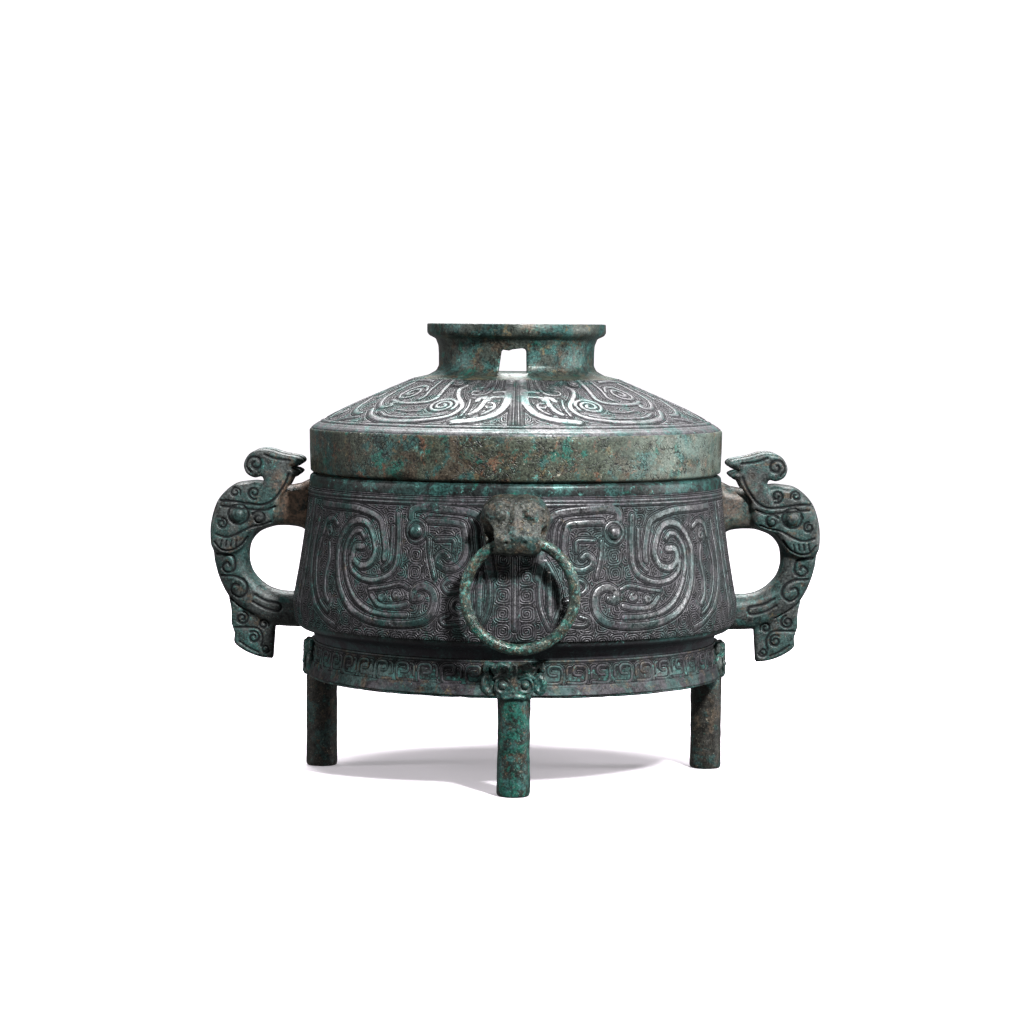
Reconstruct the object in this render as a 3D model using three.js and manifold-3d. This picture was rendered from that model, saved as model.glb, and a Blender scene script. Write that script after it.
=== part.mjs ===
// Bronze food vessel of the gui form: a lidded bowl on a ring foot with four round legs,
// two beast handles with pendants, and two loose rings that hang from small animal heads.
// Millimetres, +Z up, +X along the handles, -Y the front. The origin is the middle of the
// floor between the feet.
import * as THREE from 'three';
import { mergeVertices } from 'three/addons/utils/BufferGeometryUtils.js';
import Module from 'manifold-3d';

const wasm = await Module();
wasm.setup();

// Heights stack up from the floor: legs, ring foot, cove, lower belly, upper wall
const LEG_HEIGHT = 46.6;
const FOOT_HEIGHT = 18.9;
const COVE_HEIGHT = 5.3;
const LOWER_BELLY_HEIGHT = 14.2;
const UPPER_WALL_HEIGHT = 62.6;

// Bowl
const MOUTH_RADIUS = 102.7;
const BELLY_BULGE = 8.3;
const BELLY_EDGE_INSET = 5;
const BELLY_SWELL = 1.5;
const RIM_ROUNDING = 1.1;
const BOWL_WALL = 3;
const BOWL_FLOOR_DROP = 1;
const NECK_LINE_DROP = 9.1;

// Ring foot
const COVE_DEPTH = 6;
const FOOT_FLARE = 3.3;
const FOOT_WALL = 3.5;
const FOOT_LINE_DISTANCE = 3;

// Raised lines and bands
const LINE_HEIGHT = 0.7;
const LINE_WIDTH = 1.6;
const BAND_WIDTH = 3.2;
const BAND_HEIGHT = 0.9;
const BAND_ROOT = 1.1;
const EYE_RADIUS = 3.2;
const EYE_HEIGHT = 2.2;
const PANEL_LOW_MARGIN = 4.2;
const PANEL_TOP_MARGIN = 1.5;

// Legs and their masks
const LEG_RADIUS = 8.2;
const LEG_INSET = 6.8;
const LEG_EDGE = 1.1;
const LEG_ROOT = 5;
const MASK_WIDTH = 18.4;
const MASK_EAR_SPREAD = 14.9;
const MASK_HEIGHT = 20.5;
const MASK_PROUD = 3;
const MASK_EYE_RADIUS = 2.5;
const MASK_EYE_SPREAD = 5.4;

// Animal heads that hold the rings
const HEAD_WIDTH = 29;
const HEAD_HEIGHT = 27.8;
const HEAD_DROP = 5;
const MUZZLE_WIDTH = 23;
const MUZZLE_HEIGHT = 11.2;
const MUZZLE_THICKNESS = 4.4;
const HEAD_EYE_RADIUS = 2.6;

// Loose rings
const RING_OUTER_DIAMETER = 55.7;
const RING_BAR = 4.8;
const RING_BELLY_GAP = 4.6;
const RING_PIVOT_RISE = 7.7;
const RING_CLEARANCE = 0.4;

// Beast handles
const HANDLE_LENGTH = 50.8;
const HORN_RISE = 11.7;
const PENDANT_DROP = 17.1;
const HANDLE_DEPTH = 17;
const BEAST_DEPTH = 26;
const HORN_THICKNESS = 7.5;
const HORN_OVERHANG = 0.6;
const PENDANT_DEPTH = 9.5;
const HANDLE_ROUNDING = 3;
const BEAST_ROUNDING = 2;
const BEAST_EYE_RADIUS = 3.7;
const NOSTRIL_RADIUS = 2.6;

// Lid
const LID_SEAT_GAP = 0.3;
const LID_CLEARANCE = 0.5;
const LID_WALL = 3;
const LID_BAND_HEIGHT = 21.3;
const LID_OVERHANG = 0.2;
const LID_EDGE_CHAMFER = 0.5;
const LID_DOME_RISE = 26;
const LID_FLANGE_DEPTH = 6.7;

// Hollow knob of the lid
const KNOB_NECK_RADIUS = 38.8;
const KNOB_RIM_FLARE = 5.8;
const KNOB_RIM_THICKNESS = 6;
const KNOB_HEIGHT = 27;
const KNOB_WALL = 2.8;
const KNOB_FOOT_SPREAD = 11;
const KNOB_FLOOR_RISE = 3.4;
const KNOB_FLOOR_DISH = 1.5;
const KNOB_RIM_LEDGE = 4.6;
const KNOB_COVE = 7;
const WINDOW_WIDTH = 13;
const WINDOW_HEIGHT = 12;
const WINDOW_ARCH = 5;

// Facets
const ROUND_SEGMENTS = 28;
const LEG_SEGMENTS = 10;
const BOSS_SEGMENTS = 6;
const RING_SEGMENTS = 20;
const RING_BAR_SEGMENTS = 7;

// Colours
const BODY_BRONZE = new THREE.MeshStandardMaterial({ color: 0x4d5a58, roughness: 0.5, metalness: 0.6 });
const LID_BRONZE = new THREE.MeshStandardMaterial({ color: 0x5c6a5c, roughness: 0.5, metalness: 0.6 });
const RING_BRONZE = new THREE.MeshStandardMaterial({ color: 0x5f8a78, roughness: 0.55, metalness: 0.5 });

const DEGREE = Math.PI / 180;

// Levels and radii that follow from the sizes above
const FOOT_BOTTOM_HEIGHT = LEG_HEIGHT;
const FOOT_TOP_HEIGHT = FOOT_BOTTOM_HEIGHT + FOOT_HEIGHT;
const BELLY_EDGE_HEIGHT = FOOT_TOP_HEIGHT + COVE_HEIGHT;
const BELLY_HEIGHT = BELLY_EDGE_HEIGHT + LOWER_BELLY_HEIGHT;
const RIM_HEIGHT = BELLY_HEIGHT + UPPER_WALL_HEIGHT;
const BOWL_FLOOR_HEIGHT = FOOT_TOP_HEIGHT - BOWL_FLOOR_DROP;
const NECK_LINE_HEIGHT = RIM_HEIGHT - NECK_LINE_DROP;
const BELLY_RADIUS = MOUTH_RADIUS + BELLY_BULGE;
const BELLY_EDGE_RADIUS = BELLY_RADIUS - BELLY_EDGE_INSET;
const FOOT_TOP_RADIUS = BELLY_EDGE_RADIUS - COVE_DEPTH;
const FOOT_BOTTOM_RADIUS = FOOT_TOP_RADIUS + FOOT_FLARE;
const LEG_CENTRE_RADIUS = FOOT_BOTTOM_RADIUS - LEG_INSET;
const WALL_MIDDLE_RADIUS = MOUTH_RADIUS - BOWL_WALL / 2;

// Closed solids from geometry

function signedVolume(position, triangles) {
  const [a, b, c] = [new THREE.Vector3(), new THREE.Vector3(), new THREE.Vector3()];
  let six = 0;
  for (let i = 0; i < triangles.length; i += 3) {
    a.fromArray(position, 3 * triangles[i]);
    b.fromArray(position, 3 * triangles[i + 1]);
    c.fromArray(position, 3 * triangles[i + 2]);
    six += a.dot(b.cross(c));
  }
  return six / 6;
}

function solid(geometry) {
  const bare = geometry.clone();
  bare.deleteAttribute('normal');
  bare.deleteAttribute('uv');
  const merged = mergeVertices(bare, 1e-4);
  const position = merged.attributes.position.array;
  const index = merged.index.array;
  const triangles = [];
  for (let i = 0; i < index.length; i += 3) {
    const [a, b, c] = [index[i], index[i + 1], index[i + 2]];
    if (a !== b && b !== c && c !== a) triangles.push(a, b, c);
  }
  if (signedVolume(position, triangles) < 0) triangles.reverse();
  return new wasm.Manifold(new wasm.Mesh({
    numProp: 3,
    vertProperties: new Float32Array(position),
    triVerts: new Uint32Array(triangles),
  }));
}

function namedMesh(name, body, material) {
  const { vertProperties, triVerts } = body.getMesh();
  const geometry = new THREE.BufferGeometry();
  geometry.setAttribute('position', new THREE.BufferAttribute(vertProperties, 3));
  geometry.setIndex(new THREE.BufferAttribute(triVerts, 1));
  geometry.computeVertexNormals();
  const mesh = new THREE.Mesh(geometry, material);
  mesh.name = name;
  return mesh;
}

function joined(solids) {
  return solids.reduce((whole, next) => whole.add(next));
}

// A solid of revolution about Z; each point is [radius, height], and the profile starts and ends on the axis
function turned(profile, segments = ROUND_SEGMENTS) {
  const points = profile.map(([radius, height]) => new THREE.Vector2(radius, height));
  return solid(new THREE.LatheGeometry(points, segments).rotateX(Math.PI / 2));
}

// A plate whose outline is drawn in X and Z, centred on y = 0 and as deep as stated
function plate(outline, depth, rounding = 0) {
  const shape = new THREE.Shape(outline.map(([x, z]) => new THREE.Vector2(x, z)));
  const geometry = new THREE.ExtrudeGeometry(shape, {
    depth: depth - 2 * rounding,
    bevelEnabled: rounding > 0,
    bevelSize: rounding,
    bevelThickness: rounding,
    bevelOffset: -rounding,
    bevelSegments: 1,
    curveSegments: 1,
  });
  return solid(geometry.translate(0, 0, rounding - depth / 2).rotateX(Math.PI / 2));
}

// A low round boss whose middle lies on the Y axis at y = 0 and which stands up along -Y
function boss(radius, height, root) {
  const profile = [[0, -root], [radius, -root], [radius, height * 0.35], [0, height]];
  const points = profile.map(([r, h]) => new THREE.Vector2(r, h));
  return solid(new THREE.LatheGeometry(points, BOSS_SEGMENTS).rotateX(Math.PI));
}

// Curves for the bands

function smooth(points, steps) {
  const curve = new THREE.SplineCurve(points.map(([x, y]) => new THREE.Vector2(x, y)));
  return curve.getPoints(steps).map((p) => [p.x, p.y]);
}

// Points of a spiral that winds inward from one radius to another
function spiral(centre, outer, inner, startAngle, turns, steps, stretch = 1) {
  return Array.from({ length: steps + 1 }, (_, i) => {
    const t = i / steps;
    const radius = outer + (inner - outer) * t;
    const angle = (startAngle + 360 * turns * t) * DEGREE;
    return [centre[0] + stretch * radius * Math.cos(angle), centre[1] + radius * Math.sin(angle)];
  });
}

// A ridged band along a path of surface points; place(u, v, lift) gives the point in space,
// and scale(v) is how many millimetres one unit of u is worth there
function raisedBand(path, width, height, root, place, scale) {
  const position = [];
  const last = path.length - 1;
  path.forEach(([u, v], i) => {
    const before = path[Math.max(i - 1, 0)];
    const after = path[Math.min(i + 1, last)];
    const unit = scale(v);
    const along = new THREE.Vector2((after[0] - before[0]) * unit, after[1] - before[1]).normalize();
    const half = (i === 0 || i === last ? 0.4 : 0.65) * width;
    for (const [side, lift] of [[-1, -root], [1, -root], [0, height]]) {
      const du = (-along.y * side * half) / unit;
      const dv = along.x * side * half;
      position.push(...place(u + du, v + dv, lift).toArray());
    }
  });
  const index = [0, 1, 2];
  for (let i = 0; i < last; i += 1) {
    for (let side = 0; side < 3; side += 1) {
      const [a, b] = [3 * i + side, 3 * i + ((side + 1) % 3)];
      index.push(a, a + 3, b + 3, a, b + 3, b);
    }
  }
  const end = 3 * last;
  index.push(end, end + 2, end + 1);
  const geometry = new THREE.BufferGeometry();
  geometry.setAttribute('position', new THREE.BufferAttribute(new Float32Array(position), 3));
  geometry.setIndex(index);
  return solid(geometry);
}

// Turns one quarter's figures into all four: mirrored about the front axis and the handle axis
function fourQuarters(quarter) {
  const half = quarter.add(quarter.mirror([1, 0, 0]));
  return half.add(half.mirror([0, 1, 0]));
}

// Bowl and ring foot

function bellyRadius(height) {
  if (height >= BELLY_HEIGHT) {
    const t = (RIM_HEIGHT - height) / (RIM_HEIGHT - BELLY_HEIGHT);
    return MOUTH_RADIUS + (BELLY_RADIUS - MOUTH_RADIUS) * t ** BELLY_SWELL;
  }
  const t = (BELLY_HEIGHT - height) / (BELLY_HEIGHT - BELLY_EDGE_HEIGHT);
  return BELLY_EDGE_RADIUS + (BELLY_RADIUS - BELLY_EDGE_RADIUS) * Math.sqrt(Math.max(0, 1 - t * t));
}

function footRadius(height) {
  const t = Math.max(0, (FOOT_TOP_HEIGHT - height) / (FOOT_TOP_HEIGHT - FOOT_BOTTOM_HEIGHT));
  return FOOT_TOP_RADIUS + (FOOT_BOTTOM_RADIUS - FOOT_TOP_RADIUS) * t ** 2;
}

function raisedLine(height, radiusAt) {
  const half = LINE_WIDTH / 2;
  return [
    [radiusAt(height - half), height - half],
    [radiusAt(height) + LINE_HEIGHT, height],
    [radiusAt(height + half), height + half],
  ];
}

function bowlOutside() {
  const belly = [];
  const bellySteps = 2;
  for (let i = 0; i <= bellySteps; i += 1) {
    const height = BELLY_HEIGHT + ((NECK_LINE_HEIGHT - LINE_WIDTH - BELLY_HEIGHT) * i) / bellySteps;
    belly.push([bellyRadius(height), height]);
  }
  const underBelly = [0.95, 0.55].map((t) => {
    const height = BELLY_HEIGHT + (BELLY_EDGE_HEIGHT - BELLY_HEIGHT) * t;
    return [bellyRadius(height), height];
  });
  const coveHeight = (BELLY_EDGE_HEIGHT + FOOT_TOP_HEIGHT) / 2;
  return turned([
    [0, FOOT_BOTTOM_HEIGHT],
    [FOOT_BOTTOM_RADIUS, FOOT_BOTTOM_HEIGHT],
    ...raisedLine(FOOT_BOTTOM_HEIGHT + FOOT_LINE_DISTANCE, footRadius),
    ...raisedLine(FOOT_TOP_HEIGHT - FOOT_LINE_DISTANCE, footRadius),
    [FOOT_TOP_RADIUS, FOOT_TOP_HEIGHT],
    [FOOT_TOP_RADIUS + COVE_DEPTH * 0.17, coveHeight + COVE_HEIGHT * 0.2],
    ...underBelly,
    ...belly,
    ...raisedLine(NECK_LINE_HEIGHT, bellyRadius),
    [MOUTH_RADIUS, RIM_HEIGHT - RIM_ROUNDING],
    [MOUTH_RADIUS - RIM_ROUNDING, RIM_HEIGHT],
    [0, RIM_HEIGHT],
  ]);
}

// The inside turns in below the belly and flattens toward the middle of the floor
function bowlFloorHeight(radius) {
  const reach = BELLY_RADIUS - BOWL_WALL;
  const t = Math.min(1, radius / reach);
  const rise = BELLY_HEIGHT - BOWL_FLOOR_HEIGHT;
  return BOWL_FLOOR_HEIGHT + rise * (1 - Math.sqrt(1 - t ** 3));
}

function bowlHollow() {
  const floor = [0, 0.55, 0.83, 0.95].map((share) => {
    const radius = share * (BELLY_RADIUS - BOWL_WALL);
    return [radius, bowlFloorHeight(radius)];
  });
  const walls = [0, 0.5, 1].map((share) => {
    const height = BELLY_HEIGHT + (RIM_HEIGHT - BELLY_HEIGHT) * share;
    return [bellyRadius(height) - BOWL_WALL, height];
  });
  const above = RIM_HEIGHT + 1;
  return turned([...floor, ...walls, [MOUTH_RADIUS - BOWL_WALL, above], [0, above]]);
}

function footHollow() {
  const inner = FOOT_TOP_RADIUS - FOOT_WALL;
  const underside = [1, 0.85, 0.5, 0].map((share) => {
    const radius = share * inner;
    return [radius, bowlFloorHeight(radius) - BOWL_WALL];
  });
  const below = FOOT_BOTTOM_HEIGHT - 1;
  const middle = (FOOT_BOTTOM_HEIGHT + FOOT_TOP_HEIGHT) / 2;
  return turned([
    [0, below],
    [FOOT_BOTTOM_RADIUS - FOOT_WALL, below],
    [FOOT_BOTTOM_RADIUS - FOOT_WALL, FOOT_BOTTOM_HEIGHT],
    [footRadius(middle) - FOOT_WALL, middle],
    ...underside,
  ]);
}

// Large crested birds on the belly, one in each quarter.
// A path's points are [degrees from the front axis, share of the height between the two border lines].

const PANEL_BOTTOM = BELLY_EDGE_HEIGHT + PANEL_LOW_MARGIN;
const PANEL_TOP = NECK_LINE_HEIGHT - PANEL_TOP_MARGIN;

function panelHeight(share) {
  return PANEL_BOTTOM + (PANEL_TOP - PANEL_BOTTOM) * share;
}

function bellyPoint(degrees, height, lift) {
  const radius = bellyRadius(height) + lift;
  const angle = degrees * DEGREE;
  return new THREE.Vector3(radius * Math.sin(angle), -radius * Math.cos(angle), height);
}

function bellyBand(path, width = BAND_WIDTH) {
  const scale = (height) => bellyRadius(height) * DEGREE;
  return raisedBand(path, width, BAND_HEIGHT, BAND_ROOT, bellyPoint, scale);
}

function onPanel(points) {
  return points.map(([degrees, share]) => [degrees, panelHeight(share)]);
}

function belliedEye(degrees, share) {
  const height = panelHeight(share);
  const eye = boss(EYE_RADIUS, EYE_HEIGHT, BAND_ROOT);
  return eye.translate([0, -bellyRadius(height), height]).rotate([0, 0, degrees]);
}

function bellyBirds() {
  const claw = [23.8, 0.31];
  const tailEye = [43.4, 0.6];
  const stretch = 1 / (BELLY_RADIUS * DEGREE);
  const wide = (PANEL_TOP - PANEL_BOTTOM) * 0.14;
  const tight = wide * 0.3;
  const clawCoil = spiral([claw[0], panelHeight(claw[1])], wide, tight, 262, -1.1, 6, stretch).reverse();
  const tailCoil = spiral([tailEye[0], panelHeight(tailEye[1])], wide, tight, 180, 1, 5, stretch);
  const plume = smooth([
    ...onPanel([[29, 0.12], [38, 0.14], [46, 0.26], [51.5, 0.5], [51, 0.72], [46.5, 0.88], [41, 0.86]]),
    [tailCoil[0][0], tailCoil[0][1] + wide * 0.7],
  ], 8);
  const wing = smooth(onPanel([
    [31.8, 0.95], [31.4, 0.56], [34, 0.46], [39, 0.43], [44.5, 0.46], [48, 0.58],
  ]), 4);
  const crest = smooth(onPanel([
    [27.8, 0.97], [20, 0.97], [12, 0.95], [8.3, 0.85], [7.6, 0.7], [6.2, 0.4], [9, 0.1],
  ]), 5);
  const edgePlume = smooth(onPanel([[61, 0.84], [65.5, 0.62], [64.6, 0.36], [60, 0.16], [52, 0.07]]), 3);
  return fourQuarters(joined([
    bellyBand([...clawCoil, ...plume, ...tailCoil]),
    bellyBand(wing, BAND_WIDTH * 0.7),
    bellyBand(crest),
    bellyBand(edgePlume),
    belliedEye(26.3, 0.78),
  ]));
}

// Legs with a beast mask over each

function leg() {
  const top = FOOT_BOTTOM_HEIGHT + LEG_ROOT;
  const profile = [[0, 0], [LEG_RADIUS - LEG_EDGE, 0], [LEG_RADIUS, LEG_EDGE], [LEG_RADIUS, top], [0, top]];
  return turned(profile, LEG_SEGMENTS).translate([0, -LEG_CENTRE_RADIUS, 0]);
}

function flatPoint(front) {
  return (x, z, lift) => new THREE.Vector3(x, -(front + lift), z);
}

function mask() {
  const half = MASK_WIDTH / 2;
  const ear = MASK_EAR_SPREAD;
  const at = (share) => FOOT_BOTTOM_HEIGHT + MASK_HEIGHT * share;
  const right = [
    [half * 0.85, at(0)], [half, at(0.1)], [half, at(0.27)], [ear * 0.95, at(0.25)], [ear, at(0.5)],
    [ear * 0.9, at(0.66)], [half, at(0.5)], [half, at(0.85)], [half * 0.6, at(1)],
  ];
  const left = right.map(([x, z]) => [-x, z]).reverse();
  const back = FOOT_TOP_RADIUS - FOOT_WALL * 0.7;
  const front = FOOT_BOTTOM_RADIUS + MASK_PROUD;
  const face = plate([...right, ...left], front - back).translate([0, -(front + back) / 2, 0]);
  const eyeBoss = boss(MASK_EYE_RADIUS, MASK_EYE_RADIUS * 0.65, BAND_ROOT);
  const eye = eyeBoss.translate([MASK_EYE_SPREAD, -front, at(0.36)]);
  const ridgePath = [[0, at(0.03)], [0, at(0.3)], [0, at(0.9)]];
  const ridge = raisedBand(ridgePath, half * 0.55, half * 0.18, 1, flatPoint(front), () => 1);
  const hornPath = spiral([MASK_EYE_SPREAD, at(0.75)], half * 0.36, half * 0.13, 200, -0.75, 4);
  const horn = raisedBand(hornPath, LINE_WIDTH, BAND_HEIGHT, BAND_ROOT, flatPoint(front), () => 1);
  return joined([face, ridge, eye, eye.mirror([1, 0, 0]), horn, horn.mirror([1, 0, 0])]);
}

function legsAndMasks() {
  const one = leg().add(mask());
  return joined([0, 90, 180, 270].map((angle) => one.rotate([0, 0, angle])));
}

// Small animal heads with a channel for the ring

const HEAD_TOP_HEIGHT = RIM_HEIGHT - HEAD_DROP;
const HEAD_BOTTOM_HEIGHT = HEAD_TOP_HEIGHT - HEAD_HEIGHT;
const RING_PIVOT_HEIGHT = HEAD_BOTTOM_HEIGHT + RING_PIVOT_RISE;
const RING_STAND_OFF = BELLY_RADIUS + RING_BELLY_GAP + RING_BAR / 2;
const RING_CENTRE_RADIUS = (RING_OUTER_DIAMETER - RING_BAR) / 2;

// The room that the ring sweeps as it swings, a waisted solid of revolution about its pivot line
function ringRoom() {
  const half = HEAD_WIDTH / 2 + 2 * RING_CLEARANCE;
  const ringInside = RING_CENTRE_RADIUS - RING_BAR / 2;
  const steps = 2;
  const segments = 10;
  const profile = [[0, -half]];
  for (let i = -steps; i <= steps; i += 1) {
    const x = (half * i) / steps;
    const reach = RING_CENTRE_RADIUS - Math.sqrt(ringInside ** 2 - x * x) + RING_CLEARANCE;
    profile.push([reach / Math.cos(Math.PI / segments), x]);
  }
  profile.push([0, half]);
  return turned(profile, segments).rotate([0, 90, 0]).translate([0, -RING_STAND_OFF, RING_PIVOT_HEIGHT]);
}

// Side and front views of the head are crossed; a view's heights are shares of the head's height
function ringHead() {
  const front = RING_STAND_OFF + RING_BAR / 2 + RING_CLEARANCE + MUZZLE_THICKNESS;
  const root = WALL_MIDDLE_RADIUS;
  const reach = front - root;
  const at = (share) => HEAD_BOTTOM_HEIGHT + HEAD_HEIGHT * share;
  const sideView = [
    [0, 1], [0.29, 1], [0.63, 0.93], [0.83, 0.69], [0.96, 0.44],
    [1, 0.29], [0.96, 0.07], [0.79, 0], [0.42, 0], [0, 0.11],
  ];
  const side = new THREE.Shape(sideView.map(([out, up]) => new THREE.Vector2(root + reach * out, at(up))));
  const sideGeometry = new THREE.ExtrudeGeometry(side, { depth: HEAD_WIDTH, bevelEnabled: false });
  sideGeometry.translate(0, 0, -HEAD_WIDTH / 2).rotateX(Math.PI / 2).rotateZ(-Math.PI / 2);
  const [wide, narrow] = [HEAD_WIDTH / 2, MUZZLE_WIDTH / 2];
  const muzzleTop = MUZZLE_HEIGHT / HEAD_HEIGHT;
  const rightView = [
    [narrow * 0.91, at(0)], [narrow, at(0.07)], [narrow, at(muzzleTop * 0.92)],
    [wide, at(muzzleTop * 1.17)], [wide, at(0.86)], [wide * 0.65, at(1)],
  ];
  const frontView = [...rightView, ...rightView.map(([x, z]) => [-x, z]).reverse()];
  const face = solid(sideGeometry).intersect(plate(frontView, 2 * front));
  const eyeBoss = boss(HEAD_EYE_RADIUS, HEAD_EYE_RADIUS * 0.8, HEAD_EYE_RADIUS);
  const eye = eyeBoss.translate([wide * 0.46, -(root + reach * 0.85), at(0.6)]);
  const nostrilBoss = boss(HEAD_EYE_RADIUS * 0.65, LINE_HEIGHT, HEAD_EYE_RADIUS);
  const nostril = nostrilBoss.translate([narrow * 0.37, -front, at(0.19)]);
  const earPath = spiral([wide * 0.65, at(0.82)], wide * 0.3, wide * 0.12, -60, 0.75, 4);
  const brow = flatPoint(root + reach * 0.62);
  const ear = raisedBand(earPath, wide * 0.2, wide * 0.2, wide * 0.4, brow, () => 1);
  const details = joined([eye, nostril, ear]);
  return joined([face, details, details.mirror([1, 0, 0])]).subtract(ringRoom());
}

// Beast handles, drawn for the +X side. An outline's points are percentages of the handle's length,
// out from the middle of the bowl's wall, and of its height, up from the pendant's foot.

const HANDLE_FOOT_HEIGHT = BELLY_EDGE_HEIGHT - PENDANT_DROP;
const HANDLE_HEIGHT = RIM_HEIGHT + HORN_RISE - HANDLE_FOOT_HEIGHT;

function onHandle(points) {
  return points.map(([out, up]) => [
    WALL_MIDDLE_RADIUS + (HANDLE_LENGTH * out) / 100,
    HANDLE_FOOT_HEIGHT + (HANDLE_HEIGHT * up) / 100,
  ]);
}

function handleLoop() {
  const outer = smooth([
    [74.4, 82.2], [90.2, 76], [97.6, 66.6], [100, 57.1],
    [96.9, 45.7], [86.2, 32.5], [70.5, 24], [40.9, 16.4],
  ], 12);
  const inner = smooth([
    [23.2, 31.3], [40.9, 33.4], [57.5, 40.6], [62.4, 49.5], [55.9, 58.6], [39, 62.8],
  ], 10);
  const outline = [
    [0, 82.7], [9.4, 81.5],
    ...outer,
    [3.9, 15.8], [3.9, 31.2],
    ...inner,
    [13.4, 62.6], [0, 60.3],
  ];
  return plate(onHandle(outline), HANDLE_DEPTH, HANDLE_ROUNDING);
}

function beastHead() {
  const outline = [
    [29.1, 77], [44.9, 84], [65.4, 83.8],
    ...smooth([[76.4, 82.7], [88.2, 78.5], [98, 67.5], [100, 59], [98, 52.4]], 5),
    [82.3, 50.3], [64.6, 52.9], [54.7, 59], [37, 64.3],
  ];
  return plate(onHandle(outline), BEAST_DEPTH, BEAST_ROUNDING);
}

function horn() {
  const outline = [
    ...smooth([
      [48.8, 82.7], [48, 86.5], [54.7, 86.1], [63.8, 88.2], [66.5, 92.1],
      [61.4, 97.4], [50.8, 99.9], [32.1, 98.4], [21.3, 96.9], [8.7, 95.5],
    ], 12),
    [10.2, 93.1], [18.5, 90.6], [11.2, 89.3], [15.7, 85.9], [25.2, 80.8], [35.8, 73.6], [52.8, 75.1],
  ];
  const offset = (BEAST_DEPTH - HORN_THICKNESS) / 2 + HORN_OVERHANG;
  return plate(onHandle(outline), HORN_THICKNESS).translate([0, -offset, 0]);
}

function pendant() {
  const outline = [
    [36.6, 18.3], [80.7, 28.7], [79.9, 15], [76.6, 11.6],
    [76.6, 7.1], [64.6, 3.1], [40.9, 0], [39, 6],
  ];
  return plate(onHandle(outline), PENDANT_DEPTH);
}

function handleCarving() {
  const carve = (path, depth) => {
    const place = flatPoint(depth / 2);
    return raisedBand(path, LINE_WIDTH, BAND_HEIGHT, BAND_ROOT, place, () => 1);
  };
  const lineOnBeast = (points) => carve(onHandle(smooth(points, 3)), BEAST_DEPTH);
  const coilOnLoop = (out, up, startAngle) => {
    const [centre] = onHandle([[out, up]]);
    return carve(spiral(centre, HANDLE_LENGTH * 0.1, HANDLE_LENGTH * 0.03, startAngle, 1, 5), HANDLE_DEPTH);
  };
  const bossOnBeast = (out, up, radius) => {
    const [[x, z]] = onHandle([[out, up]]);
    return boss(radius, radius * 0.65, BAND_ROOT).translate([x, -BEAST_DEPTH / 2, z]);
  };
  return joined([
    bossOnBeast(71.3, 69.2, BEAST_EYE_RADIUS),
    bossOnBeast(51.2, 67.1, NOSTRIL_RADIUS),
    lineOnBeast([[39, 72.8], [58.7, 73.6], [76.4, 74.7], [88.2, 73.2]]),
    lineOnBeast([[58.7, 59.9], [68.5, 55.4], [82.3, 53.9], [94.1, 57.1]]),
    coilOnLoop(83.5, 45, 60),
    coilOnLoop(71.7, 35.9, 40),
  ]);
}

function handle() {
  const oneSide = horn().add(handleCarving());
  return joined([handleLoop(), beastHead(), pendant(), oneSide, oneSide.mirror([0, 1, 0])]);
}

function vessel() {
  const oneHandle = handle();
  const oneHead = ringHead();
  const body = joined([
    bowlOutside(),
    bellyBirds(),
    oneHandle,
    oneHandle.mirror([1, 0, 0]),
    oneHead,
    oneHead.mirror([0, 1, 0]),
  ]);
  return body.subtract(bowlHollow()).subtract(footHollow()).add(legsAndMasks());
}

// Lid

const LID_SEAT_HEIGHT = RIM_HEIGHT + LID_SEAT_GAP;
const LID_SHOULDER_HEIGHT = LID_SEAT_HEIGHT + LID_BAND_HEIGHT;
const LID_SHOULDER_RADIUS = MOUTH_RADIUS + LID_OVERHANG;
const LID_TOP_HEIGHT = LID_SHOULDER_HEIGHT + LID_DOME_RISE;
const KNOB_TOP_HEIGHT = LID_TOP_HEIGHT + KNOB_HEIGHT;
const KNOB_FLOOR_HEIGHT = LID_TOP_HEIGHT + KNOB_FLOOR_RISE;
const KNOB_RIM_RADIUS = KNOB_NECK_RADIUS + KNOB_RIM_FLARE;
const KNOB_FOOT_RADIUS = KNOB_NECK_RADIUS + KNOB_FOOT_SPREAD;

function domeHeight(radius) {
  const t = (radius - KNOB_FOOT_RADIUS) / (LID_SHOULDER_RADIUS - KNOB_FOOT_RADIUS);
  return LID_TOP_HEIGHT - LID_DOME_RISE * (0.88 * t + 0.12 * Math.max(0, t) ** 6);
}

function domePoints(drop, shares) {
  return shares.map((share) => {
    const radius = KNOB_FOOT_RADIUS + (LID_SHOULDER_RADIUS - KNOB_FOOT_RADIUS) * share;
    return [radius, domeHeight(radius) - drop];
  });
}

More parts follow.
